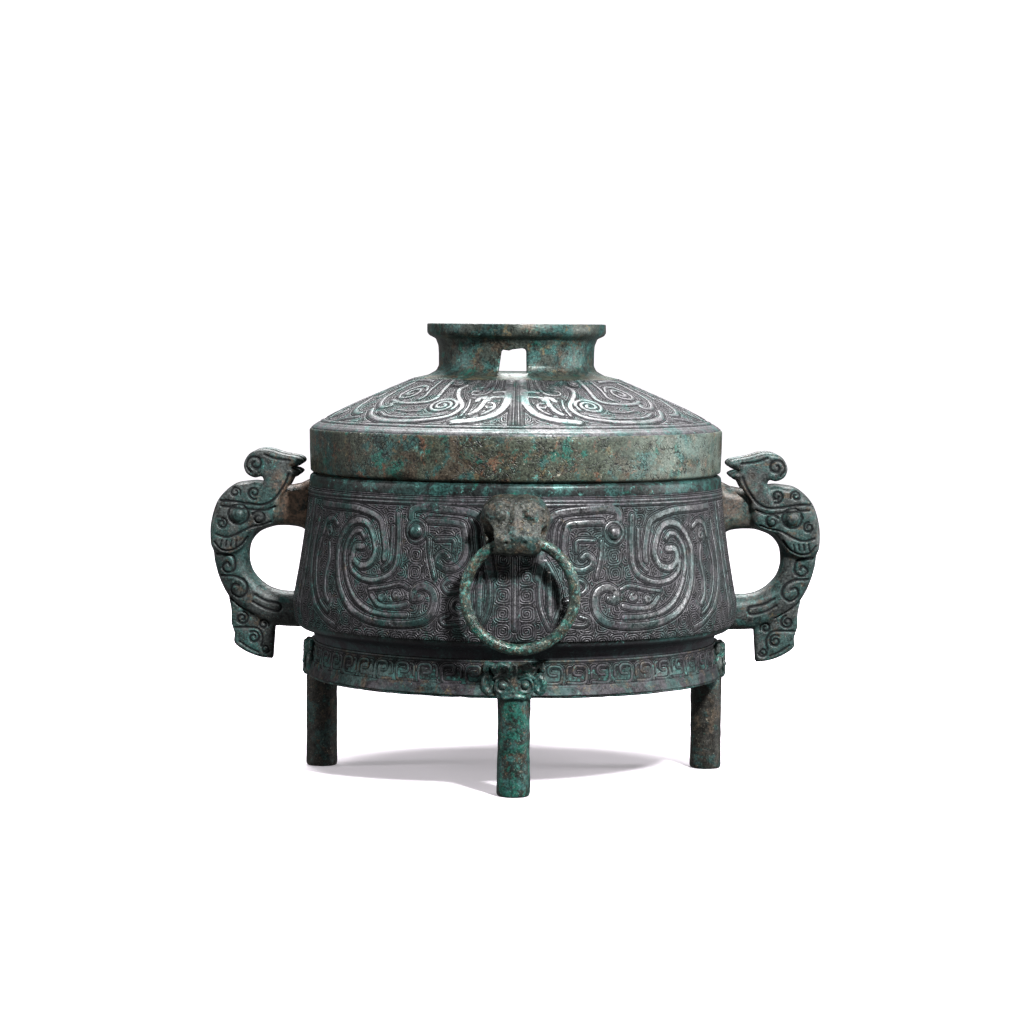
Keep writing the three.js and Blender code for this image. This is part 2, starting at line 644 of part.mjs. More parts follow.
function lidShell() {
  const knobRimBottom = KNOB_TOP_HEIGHT - KNOB_RIM_THICKNESS;
  const knobInner = KNOB_NECK_RADIUS - KNOB_WALL;
  const mouthInner = MOUTH_RADIUS - BOWL_WALL;
  const flangeRadius = mouthInner - LID_CLEARANCE;
  const flangeInner = flangeRadius - LID_WALL;
  const bandInner = LID_SHOULDER_RADIUS - LID_WALL - LID_EDGE_CHAMFER;
  const seatOuter = MOUTH_RADIUS - LID_EDGE_CHAMFER;
  const footSpread = KNOB_FOOT_RADIUS - KNOB_NECK_RADIUS;
  return turned([
    [0, KNOB_FLOOR_HEIGHT],
    [knobInner, KNOB_FLOOR_HEIGHT + KNOB_FLOOR_DISH],
    [knobInner + KNOB_WALL * 0.4, knobRimBottom],
    [KNOB_RIM_RADIUS - KNOB_RIM_LEDGE, KNOB_TOP_HEIGHT],
    [KNOB_RIM_RADIUS, KNOB_TOP_HEIGHT],
    [KNOB_RIM_RADIUS, knobRimBottom],
    [KNOB_NECK_RADIUS + KNOB_RIM_FLARE * 0.17, knobRimBottom - KNOB_COVE * 0.4],
    [KNOB_NECK_RADIUS, knobRimBottom - KNOB_COVE],
    [KNOB_NECK_RADIUS, LID_TOP_HEIGHT + KNOB_COVE * 0.85],
    [KNOB_NECK_RADIUS + footSpread * 0.25, LID_TOP_HEIGHT + KNOB_COVE * 0.45],
    ...domePoints(0, [0, 0.5, 0.88]),
    [LID_SHOULDER_RADIUS, LID_SHOULDER_HEIGHT - LID_EDGE_CHAMFER],
    [seatOuter, LID_SEAT_HEIGHT + LID_EDGE_CHAMFER],
    [seatOuter - LID_EDGE_CHAMFER, LID_SEAT_HEIGHT],
    [flangeRadius, LID_SEAT_HEIGHT],
    [flangeRadius, LID_SEAT_HEIGHT - LID_FLANGE_DEPTH],
    [flangeInner, LID_SEAT_HEIGHT - LID_FLANGE_DEPTH],
    [flangeInner, LID_SEAT_HEIGHT + LID_WALL],
    [bandInner, LID_SEAT_HEIGHT + 2 * LID_WALL],
    [bandInner, LID_SHOULDER_HEIGHT - LID_WALL - LID_EDGE_CHAMFER],
    ...domePoints(LID_WALL + LID_EDGE_CHAMFER, [0.88, 0]),
    [0, KNOB_FLOOR_HEIGHT - LID_WALL],
  ]);
}

// Two arched windows in the knob's neck, front and back
function knobWindows() {
  const half = WINDOW_WIDTH / 2;
  const bottom = KNOB_FLOOR_HEIGHT;
  const top = bottom + WINDOW_HEIGHT;
  const through = 2 * (KNOB_RIM_RADIUS + KNOB_WALL);
  const arch = Array.from({ length: 5 }, (_, i) => {
    const angle = (i * Math.PI) / 4;
    return [half * Math.cos(angle), top - WINDOW_ARCH * (1 - Math.sin(angle))];
  });
  return plate([[-half, bottom], [half, bottom], ...arch], through);
}

function lidPoint(degrees, radius, lift) {
  return new THREE.Vector3(radius * Math.sin(degrees * DEGREE), -radius * Math.cos(degrees * DEGREE),
    domeHeight(radius) + lift);
}

// Plumed birds on the dome; a point is [degrees from the front axis, share of the way from knob to shoulder]
function domeBirds() {
  const radiusAt = (share) => KNOB_FOOT_RADIUS + (LID_SHOULDER_RADIUS - KNOB_FOOT_RADIUS) * share;
  const onDome = (points) => points.map(([degrees, share]) => [degrees, radiusAt(share)]);
  const scale = (radius) => radius * DEGREE;
  const band = (path) => raisedBand(path, BAND_WIDTH, BAND_HEIGHT, BAND_ROOT, lidPoint, scale);
  const coilRadius = radiusAt(0.5);
  const span = LID_SHOULDER_RADIUS - KNOB_FOOT_RADIUS;
  const coil = spiral([26, coilRadius], span * 0.17, span * 0.05, 150, 1, 5, 1 / (coilRadius * DEGREE));
  const crest = smooth(onDome([[24, 0.88], [12, 0.84], [6.5, 0.6], [5, 0.28], [8, 0.08], [17, 0.2]]), 5);
  const ovalRadius = radiusAt(0.36);
  const oval = spiral([54, ovalRadius], span * 0.23, span * 0.075, 205, 1, 5, 1 / (ovalRadius * DEGREE));
  const tail = smooth(onDome([[34, 0.82], [50, 0.84], [66, 0.72], [76, 0.42], [78, 0.12]]), 3);
  return fourQuarters(joined([coil, crest, oval, tail].map(band)));
}

function lid() {
  return lidShell().subtract(knobWindows()).add(domeBirds());
}

// Loose rings

function looseRing() {
  const barRadius = RING_BAR / 2;
  const torus = new THREE.TorusGeometry(RING_CENTRE_RADIUS, barRadius, RING_BAR_SEGMENTS, RING_SEGMENTS);
  return solid(torus.rotateX(Math.PI / 2));
}

function placedRing(name, side) {
  const mesh = namedMesh(name, looseRing(), RING_BRONZE);
  mesh.position.set(0, side * RING_STAND_OFF, RING_PIVOT_HEIGHT - RING_CENTRE_RADIUS);
  return mesh;
}

const guiVessel = new THREE.Group();
guiVessel.add(
  namedMesh('vessel', vessel(), BODY_BRONZE),
  namedMesh('lid', lid(), LID_BRONZE),
  placedRing('ring_front', -1),
  placedRing('ring_back', 1),
);

export default guiVessel;
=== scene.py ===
"""Dresses the frame of a lidded bronze food vessel of the gui form, with its patina, relief and studio.

Shapes are worked out in millimetres and turned to metres when their mesh is made. Angles on the
vessel are in degrees from the front axis, and heights are above the floor.
"""
import math

import bpy
import numpy as np
from mathutils import Matrix, Vector


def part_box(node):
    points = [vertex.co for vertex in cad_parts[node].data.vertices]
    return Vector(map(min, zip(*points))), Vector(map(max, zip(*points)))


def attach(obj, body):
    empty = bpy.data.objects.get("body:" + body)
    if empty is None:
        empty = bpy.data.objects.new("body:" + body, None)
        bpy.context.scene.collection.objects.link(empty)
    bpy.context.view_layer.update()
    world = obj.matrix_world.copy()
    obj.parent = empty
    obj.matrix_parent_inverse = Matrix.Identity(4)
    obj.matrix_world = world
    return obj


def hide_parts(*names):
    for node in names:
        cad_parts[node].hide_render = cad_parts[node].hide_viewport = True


MM = 0.001

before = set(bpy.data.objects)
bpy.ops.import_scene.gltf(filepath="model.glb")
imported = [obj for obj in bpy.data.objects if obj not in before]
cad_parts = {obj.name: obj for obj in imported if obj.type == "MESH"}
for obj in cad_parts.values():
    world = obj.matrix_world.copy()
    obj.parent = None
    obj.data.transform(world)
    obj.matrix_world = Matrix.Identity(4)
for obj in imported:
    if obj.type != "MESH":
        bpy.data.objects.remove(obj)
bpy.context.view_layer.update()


def box_mm(node):
    low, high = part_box(node)
    return np.array(low) / MM, np.array(high) / MM


# Sizes read from the frame
VESSEL_LOW, VESSEL_HIGH = box_mm("vessel")
LID_LOW, LID_HIGH = box_mm("lid")
RING_LOW, RING_HIGH = box_mm("ring_front")
HANDLE_REACH = VESSEL_HIGH[0]
HANDLE_TOP = VESSEL_HIGH[2]
HEAD_FRONT = -VESSEL_LOW[1]
LID_RADIUS = LID_HIGH[0]
KNOB_TOP = LID_HIGH[2]
RING_OUTER_RADIUS = RING_HIGH[0]
RING_STAND_OFF = -(RING_LOW[1] + RING_HIGH[1]) / 2
RING_MIDDLE_HEIGHT = (RING_LOW[2] + RING_HIGH[2]) / 2

# Bowl
MOUTH_RADIUS = LID_RADIUS - 0.2
BELLY_RADIUS = MOUTH_RADIUS + 8.3
BELLY_EDGE_RADIUS = BELLY_RADIUS - 5
FOOT_TOP_RADIUS = BELLY_EDGE_RADIUS - 6
FOOT_BOTTOM_RADIUS = FOOT_TOP_RADIUS + 3.3
FOOT_BOTTOM = 46.6
FOOT_TOP = FOOT_BOTTOM + 18.9
BELLY_EDGE = FOOT_TOP + 5.3
BELLY_HEIGHT = BELLY_EDGE + 14.2
RIM = BELLY_HEIGHT + 62.6
WALL = 3
FOOT_WALL = 3.5
RECESS = 0.55
SKIN_ROOT = 1.5
BELLY_PANEL = (74, 141.6)
FOOT_PANEL = (48, 64.6)

# Lid
LID_SEAT = RIM + 0.3
LID_SHOULDER = LID_SEAT + 21.3
LID_TOP = KNOB_TOP - 27
KNOB_FOOT_RADIUS = 49.8
KNOB_NECK_RADIUS = 38.8
KNOB_RIM_RADIUS = 44.6
KNOB_FLOOR = LID_TOP + 3.4
WINDOW_WIDTH = 13
WINDOW_HEIGHT = 12
DOME_PANEL = (50.6, 102)

# Legs, rings and their pivots
LEG_RADIUS = 7.9
LEG_CENTRE_RADIUS = FOOT_BOTTOM_RADIUS - 6.8
RING_BAR_RADIUS = 2.75
RING_RADIUS = RING_OUTER_RADIUS - 2.4
RING_SHIFT = 2.4
RING_PIVOT_HEIGHT = RING_MIDDLE_HEIGHT + RING_RADIUS
RING_CLEARANCE = 0.4

# Handles: half depths of the loop, the beast's head, the horn plates and the pendant
LOOP_HALF_DEPTH = 8.5
BEAST_HALF_DEPTH = 13
HORN_OFFSET = 9.85
HORN_HALF_DEPTH = 3.75
PENDANT_HALF_DEPTH = 4.75

# Fineness of the meshes
BELLY_STEP = {"front": 0.46, "back": 0.9}
DOME_STEP = {"front": 0.5, "back": 0.95}
FOOT_STEP = {"front": 0.42, "back": 0.8}
HANDLE_STEP = 0.5
HEAD_STEP = 0.42
MASK_STEP = 0.36
KEPT_SHARE = 0.54
SPIRAL_CELL = 8.0

# Photograph's viewpoint
CAMERA_DISTANCE = 1500
CAMERA_HEIGHT = 222
CAMERA_AIM = (-1.65, 0, 128)
CAMERA_ROLL = 0.42
LENS = 105.5


# Curves and smooth functions

def smoothstep(low, high, x):
    t = np.clip((x - low) / (high - low), 0, 1)
    return t * t * (3 - 2 * t)


def curve(points, spacing=0.8):
    """A smooth line through the points, in steps of about the given spacing."""
    points = np.asarray(points, float)
    ends = np.vstack([2 * points[0] - points[1], points, 2 * points[-1] - points[-2]])
    line = []
    for a, b, c, d in zip(ends, ends[1:], ends[2:], ends[3:]):
        steps = max(2, int(np.linalg.norm(c - b) / spacing))
        t = np.linspace(0, 1, steps, endpoint=False)[:, None]
        line.append(0.5 * (2 * b + (c - a) * t + (2 * a - 5 * b + 4 * c - d) * t**2
            + (3 * b - a - 3 * c + d) * t**3))
    return np.vstack([*line, points[-1:]])


def closed_curve(points, spacing=0.8):
    """A smooth closed line through the points."""
    points = np.asarray(points, float)
    line = curve(np.vstack([points[-2:], points, points[:3]]), spacing)
    start = np.argmin(np.linalg.norm(line[: len(line) // 2] - points[0], axis=1))
    finish = len(line) // 2 + np.argmin(np.linalg.norm(line[len(line) // 2:] - points[0], axis=1))
    return line[start:finish]


def coil(centre, outer, inner, start, turns, stretch=1):
    """Points of a spiral that winds inward; angles in degrees."""
    t = np.linspace(0, 1, int(10 * abs(turns)) + 3)
    radius = outer + (inner - outer) * t
    angle = np.radians(start + 360 * turns * t)
    return np.stack([centre[0] + stretch * radius * np.cos(angle), centre[1] + radius * np.sin(angle)],
        axis=1)


def distance_to_line(points, line, reach):
    """Distance of each point to a line, or the reach where it is further off."""
    best = np.full(len(points), reach, float)
    near = np.all((points > line.min(0) - reach) & (points < line.max(0) + reach), axis=1)
    chosen = points[near]
    found = np.full(len(chosen), reach, float)
    for a, b in zip(line[:-1], line[1:]):
        middle = (a + b) / 2
        close = np.abs(chosen - middle).max(axis=1) < reach + np.abs(b - a).max()
        offset = chosen[close] - a
        span = b - a
        t = np.clip(offset @ span / max(span @ span, 1e-9), 0, 1)
        found[close] = np.minimum(found[close], np.linalg.norm(offset - t[:, None] * span, axis=1))
    best[near] = found
    return best


def inside_distance(points, outline):
    """Signed distance to a closed outline, negative inside."""
    best = np.full(len(points), 1e9)
    inside = np.zeros(len(points), bool)
    for a, b in zip(outline, np.roll(outline, -1, axis=0)):
        offset = points - a
        span = b - a
        t = np.clip(offset @ span / max(span @ span, 1e-9), 0, 1)
        best = np.minimum(best, ((offset - t[:, None] * span) ** 2).sum(axis=1))
        crosses = (a[1] > points[:, 1]) != (b[1] > points[:, 1])
        with np.errstate(divide="ignore", invalid="ignore"):
            at = a[0] + (points[:, 1] - a[1]) * (b[0] - a[0]) / (b[1] - a[1])
        inside ^= crosses & (points[:, 0] < at)
    return np.where(inside, -1, 1) * np.sqrt(best)


def value_noise(points, size, seed):
    """Smooth noise from -1 to 1 whose features are about the given size."""
    table = np.random.default_rng(seed).uniform(-1, 1, (32, 32, 32))
    scaled = points / size
    low = np.floor(scaled).astype(int)
    t = scaled - low
    t = t * t * (3 - 2 * t)
    total = 0
    for corner in np.ndindex(2, 2, 2):
        weight = np.prod(np.where(np.array(corner), t, 1 - t), axis=-1)
        i, j, k = np.moveaxis((low + corner) % 32, -1, 0)
        total = total + weight * table[i, j, k]
    return total


def crust(points, seed, sizes=(6, 2.4), weights=(0.6, 0.4)):
    return sum(w * value_noise(points, s, seed + i) for i, (s, w) in enumerate(zip(sizes, weights)))


# Meshes

def add_piece(name, points, faces, material, body, slot, nodes=(), **attributes):
    """Makes a smooth mesh from points in millimetres, and hangs it on a body of the frame."""
    mesh = bpy.data.meshes.new(name)
    mesh.from_pydata(np.asarray(points) * MM, [], faces if isinstance(faces, list) else faces.tolist())
    for key, values in attributes.items():
        values = np.asarray(values, float)
        kind = "FLOAT" if values.ndim == 1 else "FLOAT_VECTOR"
        layer = mesh.attributes.new(key, kind, "POINT")
        layer.data.foreach_set("value" if values.ndim == 1 else "vector", values.ravel())
    mesh.shade_smooth()
    mesh.materials.append(material)
    piece = bpy.data.objects.new(name, mesh)
    bpy.context.scene.collection.objects.link(piece)
    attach(piece, body)
    if nodes:
        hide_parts(*nodes)
    return piece


def grid_faces(rows, columns, flip=False, wrap=False):
    """Faces of a grid of points stored row by row; wrap joins the last column to the first."""
    index = np.arange(rows * columns).reshape(rows, columns)
    if wrap:
        index = np.hstack([index, index[:, :1]])
    quads = np.stack([index[:-1, :-1], index[:-1, 1:], index[1:, 1:], index[1:, :-1]], axis=-1).reshape(-1,
        4)
    return quads[:, ::-1] if flip else quads


def rounded(profile, radius, steps=3):
    """The profile with its corners turned into small arcs."""
    profile = np.asarray(profile, float)
    points = [profile[0]]
    for before, corner, after in zip(profile, profile[1:], profile[2:]):
        back, ahead = before - corner, after - corner
        reach = min(radius, 0.45 * np.linalg.norm(back), 0.45 * np.linalg.norm(ahead))
        start = corner + back / np.linalg.norm(back) * reach
        end = corner + ahead / np.linalg.norm(ahead) * reach
        for t in np.linspace(0, 1, steps + 1):
            points.append((1 - t) ** 2 * start + 2 * t * (1 - t) * corner + t * t * end)
    points.append(profile[-1])
    return np.array(points)


def refined(profile, step):
    """The profile with its long stretches cut into equal steps."""
    points = [profile[0]]
    for a, b in zip(profile, profile[1:]):
        count = max(1, int(np.linalg.norm(b - a) / step))
        points.extend(a + (b - a) * i / count for i in range(1, count + 1))
    return np.array(points)


def revolve(profile, segments, rough, seed):
    """Points and faces of a closed turned body whose profile starts and ends on the axis."""
    rings = profile[1:-1]
    angle = np.arange(segments) * 2 * math.pi / segments
    radius, height = rings[:, :1], rings[:, 1:]
    x = radius * np.cos(angle)
    y = radius * np.sin(angle)
    z = np.broadcast_to(height, x.shape)
    points = np.stack([x, y, z], axis=-1).reshape(-1, 3)
    if rough:
        outward = np.stack([np.cos(angle), np.sin(angle), 0 * angle], axis=-1)
        push = rough * crust(points, seed)
        points = points + push[:, None] * np.tile(outward, (len(rings), 1))
    poles = np.array([[0, 0, profile[0][1]], [0, 0, profile[-1][1]]])
    faces = grid_faces(len(rings), segments, wrap=True).tolist()
    first = len(points)
    last_ring = (len(rings) - 1) * segments
    for i in range(segments):
        j = (i + 1) % segments
        faces.append([first, j, i])
        faces.append([first + 1, last_ring + i, last_ring + j])
    return np.vstack([points, poles]), faces


def surface_net(field, origin, step):
    """A smooth closed mesh where the field of signed distances is zero."""
    cells = tuple(n - 1 for n in field.shape)
    total = np.zeros(cells + (3,))
    count = np.zeros(cells)
    crossings = []
    for axis in range(3):
        here = np.moveaxis(field, axis, 0)
        low, high = here[:-1], here[1:]
        crossed = (low < 0) != (high < 0)
        part = np.where(crossed, low / np.where(crossed, low - high, 1), 0)
        crossed, part = np.moveaxis(crossed, 0, axis), np.moveaxis(part, 0, axis)
        down = np.moveaxis(low < 0, 0, axis)
        crossings.append((crossed, down))
        others = [k for k in range(3) if k != axis]
        for offsets in np.ndindex(2, 2):
            window = [slice(None)] * 3
            for k, shift in zip(others, offsets):
                window[k] = slice(shift, shift + cells[k])
            window = tuple(window)
            hit = crossed[window]
            count += hit
            total[..., axis] += part[window] * hit
            for k, shift in zip(others, offsets):
                total[..., k] += shift * hit
    used = count > 0
    number = np.full(cells, -1)
    number[used] = np.arange(used.sum())
    points = origin + step * (np.argwhere(used) + total[used] / count[used][:, None])
    faces = []
    for axis, (crossed, down) in enumerate(crossings):
        i, j = [k for k in range(3) if k != axis]
        where = np.argwhere(crossed)
        inner = (where[:, i] > 0) & (where[:, j] > 0) & (where[:, i] < cells[i]) & (where[:, j] < cells[j])
        where = where[inner]
        corners = []
        for shift_i, shift_j in ((1, 1), (0, 1), (0, 0), (1, 0)):
            cell = where.copy()
            cell[:, i] -= shift_i
            cell[:, j] -= shift_j
            corners.append(number[tuple(cell.T)])
        quads = np.stack(corners, axis=1)
        turn = down[tuple(where.T)] ^ (axis == 1)
        faces.append(np.where(turn[:, None], quads, quads[:, ::-1]))
    return points, np.vstack(faces)


def thinned(points, faces):
    """The mesh with a share of its triangles, most of them kept where the form is finest."""
    mesh = bpy.data.meshes.new("thinned")
    mesh.from_pydata(points, [], faces.tolist())
    piece = bpy.data.objects.new("thinned", mesh)
    bpy.context.scene.collection.objects.link(piece)
    modifier = piece.modifiers.new("thin", "DECIMATE")
    modifier.ratio = KEPT_SHARE
    result = bpy.data.meshes.new_from_object(piece.evaluated_get(bpy.context.evaluated_depsgraph_get()))
    places = np.empty(3 * len(result.vertices))
    result.vertices.foreach_get("co", places)
    result.calc_loop_triangles()
    corners = np.empty(3 * len(result.loop_triangles), np.int32)
    result.loop_triangles.foreach_get("vertices", corners)
    bpy.data.objects.remove(piece)
    return places.reshape(-1, 3), corners.reshape(-1, 3)


def voxels(low, high, step):
    """Grid of sample points between two corners."""
    axes = [np.arange(a, b + step, step) for a, b in zip(low, high)]
    return np.meshgrid(*axes, indexing="ij"), np.array(low, float)


def blend(a, b, softness):
    """Joins two fields with a soft fillet."""
    h = np.clip(0.5 + 0.5 * (b - a) / softness, 0, 1)
    return b + (a - b) * h - softness * h * (1 - h)


def slab(flat, across, half_depth, rounding):
    """An outline's field turned into a plate with rounded edges."""
    u = flat + rounding
    v = across - half_depth + rounding
    return np.hypot(np.maximum(u, 0), np.maximum(v, 0)) + np.minimum(np.maximum(u, v), 0) - rounding


def ball(place, centre, radii):
    """An ellipsoid's field."""
    radii = np.broadcast_to(np.asarray(radii, float), 3)
    q = [(p - c) / r for p, c, r in zip(place, centre, radii)]
    length = np.sqrt(sum(x * x for x in q))
    return (length - 1) * radii.min()


def rod(place, a, b, radius):
    """The field of a round rod between two points."""
    a, b = np.asarray(a, float), np.asarray(b, float)
    span = b - a
    offset = [p - x for p, x in zip(place, a)]
    t = np.clip(sum(o * s for o, s in zip(offset, span)) / (span @ span), 0, 1)
    return np.sqrt(sum((o - t * s) ** 2 for o, s in zip(offset, span))) - radius


def brick(place, centre, half, rounding):
    """The field of a block with rounded edges."""
    q = [np.abs(p - c) - h + rounding for p, c, h in zip(place, centre, half)]
    outside = np.sqrt(sum(np.maximum(x, 0) ** 2 for x in q))
    return outside + np.minimum(np.maximum(np.maximum(q[0], q[1]), q[2]), 0) - rounding


def hoop(place, centre, radius, bar):
    """The field of a small ring that faces the front."""
    x, y, z = [p - c for p, c in zip(place, centre)]
    return np.hypot(np.hypot(x, z) - radius, y) - bar


# Materials

class Shader:
    """Builds one material's nodes; places are in millimetres of the frame."""

    def __init__(self, name):
        self.material = bpy.data.materials.new(name)
        self.material.use_nodes = True
        self.tree = self.material.node_tree
        self.surface = self.tree.nodes["Principled BSDF"]
        coordinates = self.tree.nodes.new("ShaderNodeTexCoord").outputs["Object"]
        scale = self.tree.nodes.new("ShaderNodeVectorMath")
        scale.operation = "SCALE"
        self.link(coordinates, scale.inputs[0])
        scale.inputs["Scale"].default_value = 1 / MM
        self.place = scale.outputs[0]
        self.height = None

    def link(self, source, socket):
        if isinstance(source, (int, float)):
            socket.default_value = source
        elif isinstance(source, tuple):
            socket.default_value = (*source, 1)
        else:
            self.tree.links.new(source, socket)

    def math(self, operation, a, b=0.0, clamp=False):
        node = self.tree.nodes.new("ShaderNodeMath")
        node.operation = operation
        node.use_clamp = clamp
        self.link(a, node.inputs[0])
        self.link(b, node.inputs[1])
        return node.outputs[0]

    def times(self, a, b, clamp=False):
        return self.math("MULTIPLY", a, b, clamp)

    def plus(self, a, b, clamp=False):
        return self.math("ADD", a, b, clamp)

    def minus(self, a, b):
        return self.math("SUBTRACT", a, b)

    def noise(self, size, detail=4.0, roughness=0.6, distortion=0.0, shift=0.0):
        """Noise whose features are about the given size in millimetres."""
        moved = self.tree.nodes.new("ShaderNodeVectorMath")
        moved.operation = "ADD"
        self.link(self.place, moved.inputs[0])
        moved.inputs[1].default_value = (17.3 * shift, 9.1 * shift, 5.7 * shift)
        node = self.tree.nodes.new("ShaderNodeTexNoise")
        self.link(moved.outputs[0], node.inputs["Vector"])
        node.inputs["Scale"].default_value = 1 / size
        node.inputs["Detail"].default_value = detail
        node.inputs["Roughness"].default_value = roughness
        node.inputs["Distortion"].default_value = distortion
        return node.outputs["Fac"]

    def rise(self, value, low, high, top=1.0):
        """Zero below low and the top value above high, smooth between."""
        node = self.tree.nodes.new("ShaderNodeMapRange")
        node.interpolation_type = "SMOOTHSTEP"
        self.link(value, node.inputs["Value"])
        node.inputs["From Min"].default_value = low
        node.inputs["From Max"].default_value = high
        node.inputs["To Max"].default_value = top
        return node.outputs[0]

    def mix(self, factor, a, b, blend="MIX"):
        node = self.tree.nodes.new("ShaderNodeMix")
        node.data_type = "RGBA"
        node.blend_type = blend
        self.link(factor, node.inputs[0])
        self.link(a, node.inputs[6])
        self.link(b, node.inputs[7])
        return node.outputs[2]

    def cracks(self, size):
        """Distance to the nearest crack of a net whose meshes have about the given size."""
        node = self.tree.nodes.new("ShaderNodeTexVoronoi")
        node.feature = "DISTANCE_TO_EDGE"
        self.link(self.place, node.inputs["Vector"])
        node.inputs["Scale"].default_value = 1 / size
        return node.outputs["Distance"]

    def attribute(self, name):
        node = self.tree.nodes.new("ShaderNodeAttribute")
        node.attribute_name = name
        return node

    def axis(self, vector, which):
        node = self.tree.nodes.new("ShaderNodeSeparateXYZ")
        self.link(vector, node.inputs[0])
        return node.outputs[which]

    def raise_by(self, amount):
        """Adds to the fine height, in millimetres."""
        self.height = amount if self.height is None else self.plus(self.height, amount)

    def finish(self, colour, roughness, metallic, specular=0.5):
        self.link(colour, self.surface.inputs["Base Color"])
        self.link(roughness, self.surface.inputs["Roughness"])
        self.link(metallic, self.surface.inputs["Metallic"])
        self.link(specular, self.surface.inputs["Specular IOR Level"])
        bump = self.tree.nodes.new("ShaderNodeBump")
        bump.inputs["Distance"].default_value = MM
        self.link(self.height, bump.inputs["Height"])
        self.link(bump.outputs[0], self.surface.inputs["Normal"])
        return self.material


# Patina colours, as linear light
BRONZE_GREY = (0.05, 0.0455, 0.0535)
BRONZE_PALE = (0.15, 0.153, 0.154)
PALE_GREEN = (0.17, 0.21, 0.18)
DARK_TEAL = (0.022, 0.05, 0.047)
TEAL = (0.025, 0.076, 0.07)
MALACHITE = (0.012, 0.085, 0.065)
TURQUOISE = (0.085, 0.23, 0.205)
OCHRE = (0.1, 0.08, 0.045)
BROWN = (0.055, 0.042, 0.03)
RUST = (0.11, 0.055, 0.034)
CREAM = (0.34, 0.33, 0.26)
# Dark colour for dirt and painted shade in lines and hollows, and for cracks
SOOT_AND_SHADE = (0.012, 0.013, 0.014)

# How strongly the flecks show, how far the blends reach to the sides, and the cast lines in millimetres
MOTTLING = 0.85
SIDE_REACH = 110
LINE_PITCH = 1.05
BAND_LINE_DEPTH = 0.2
GROUND_LINE_DEPTH = 0.17


def fine_grain(shader, depth=0.05):
    """The slightly pitted skin that all the bronze has."""
    shader.raise_by(shader.times(shader.noise(1.3, 6, 0.7), depth))
    pits = shader.rise(shader.noise(1.7, 4, 0.6, shift=7), 0.6, 0.7, -0.14)
    shader.raise_by(pits)


def mottled(shader, colour):
    """Breaks a colour up into darker and paler flecks."""
    coarse = shader.rise(shader.noise(4.5, 5, 0.66, 0.3, 103), 0.36, 0.64)
    fine = shader.rise(shader.noise(1.0, 3, 0.6, 0.0, 107), 0.38, 0.64)
    factor = shader.plus(shader.times(coarse, 0.9), shader.times(fine, 1.1))
    tone = shader.plus(shader.times(factor, MOTTLING), 1 - MOTTLING)
    node = shader.tree.nodes.new("ShaderNodeCombineColor")
    for channel in range(3):
        shader.link(tone, node.inputs[channel])
    return shader.mix(1.0, colour, node.outputs[0], "MULTIPLY")


def patina(shader, base, amounts, spots=0.0, patch=0.8):
    """Lays coloured corrosion over a base colour; amounts say how far each layer spreads, from 0 to 1."""
    colour = base
    layers = (
        ("dark", DARK_TEAL, 24, 0.6, 3),
        ("teal", TEAL, 15, 0.62, 11),
        ("brown", BROWN, 13, 0.62, 23),
        ("ochre", OCHRE, 8, 0.68, 31),
        ("malachite", MALACHITE, 11, 0.62, 43),
        ("rust", RUST, 6, 0.68, 57),
        ("turquoise", TURQUOISE, 5, 0.72, 61),
        ("cream", CREAM, 3, 0.74, 79),
    )
    for name, tint, size, rough, shift in layers:
        amount = amounts.get(name, 0)
        if amount:
            edge = 0.68 - 0.28 * amount
            spread = shader.rise(shader.noise(size * patch, 8, rough + 0.07, 0.3, shift), edge, edge + 0.05,
                0.9)
            colour = shader.mix(spread, colour, tint)
    colour = mottled(shader, colour)
    if spots:
        colour = shader.mix(shader.rise(shader.noise(0.8, 3, 0.6, shift=91), 0.64, 0.72, spots), colour,
            CREAM)
    return colour


def side_to_side(shader, low, high):
    """Changes from low on the left to high on the right."""
    across = shader.rise(shader.axis(shader.place, "X"), -SIDE_REACH, SIDE_REACH)
    return shader.plus(shader.times(across, high - low), low)


def relief_lines(shader):
    """Fine cast lines: double outlines on the bands, and rows of squared spirals on the ground; the hollow
    it returns is dark dirt and painted shade in the lines and at the feet of the bands.
    """
    edge = shader.attribute("edge").outputs["Fac"]
    cell = shader.attribute("cell").outputs["Vector"]
    x, y = shader.axis(cell, "X"), shader.axis(cell, "Y")
    fourth = [shader.math("POWER", shader.math("ABSOLUTE", v), 3.4) for v in (x, y)]
    radius = shader.math("POWER", shader.plus(*fourth), 1 / 3.4)
    turn = shader.math("DIVIDE", shader.math("ARCTAN2", y, x), 2 * math.pi)
    phase = shader.plus(shader.math("DIVIDE", radius, LINE_PITCH), turn)
    spiral = shader.math("SINE", shader.times(phase, 2 * math.pi))
    contour = shader.math("SINE", shader.times(shader.minus(edge, 0.2), 2 * math.pi / LINE_PITCH))
    far = shader.rise(edge, 1.75, 1.85)
    wave = shader.plus(shader.times(spiral, far), shader.times(contour, shader.minus(1.0, far)))
    ground = shader.rise(edge, -0.15, 0.3)
    wave = shader.times(wave, ground)
    groove_at = shader.math("ABSOLUTE", shader.plus(edge, 0.75))
    groove = shader.minus(1.0, shader.rise(groove_at, 0.1, 0.3))
    groove = shader.times(groove, shader.rise(edge, -0.5, -0.45, -1))
    groove = shader.math("ABSOLUTE", groove)
    shader.raise_by(shader.times(wave, GROUND_LINE_DEPTH))
    shader.raise_by(shader.times(groove, -BAND_LINE_DEPTH))
    # hollow: dark dirt and painted shade in the lines, in the troughs of the ground and at the foot of each
    # band
    hollow = shader.plus(groove, shader.times(shader.rise(wave, 0.2, -0.7), ground), clamp=True)
    step = shader.math("ABSOLUTE", shader.minus(edge, 0.22))
    step = shader.minus(1.0, shader.rise(step, 0.08, 0.36))
    hollow = shader.math("MAXIMUM", hollow, step)
    return edge, hollow


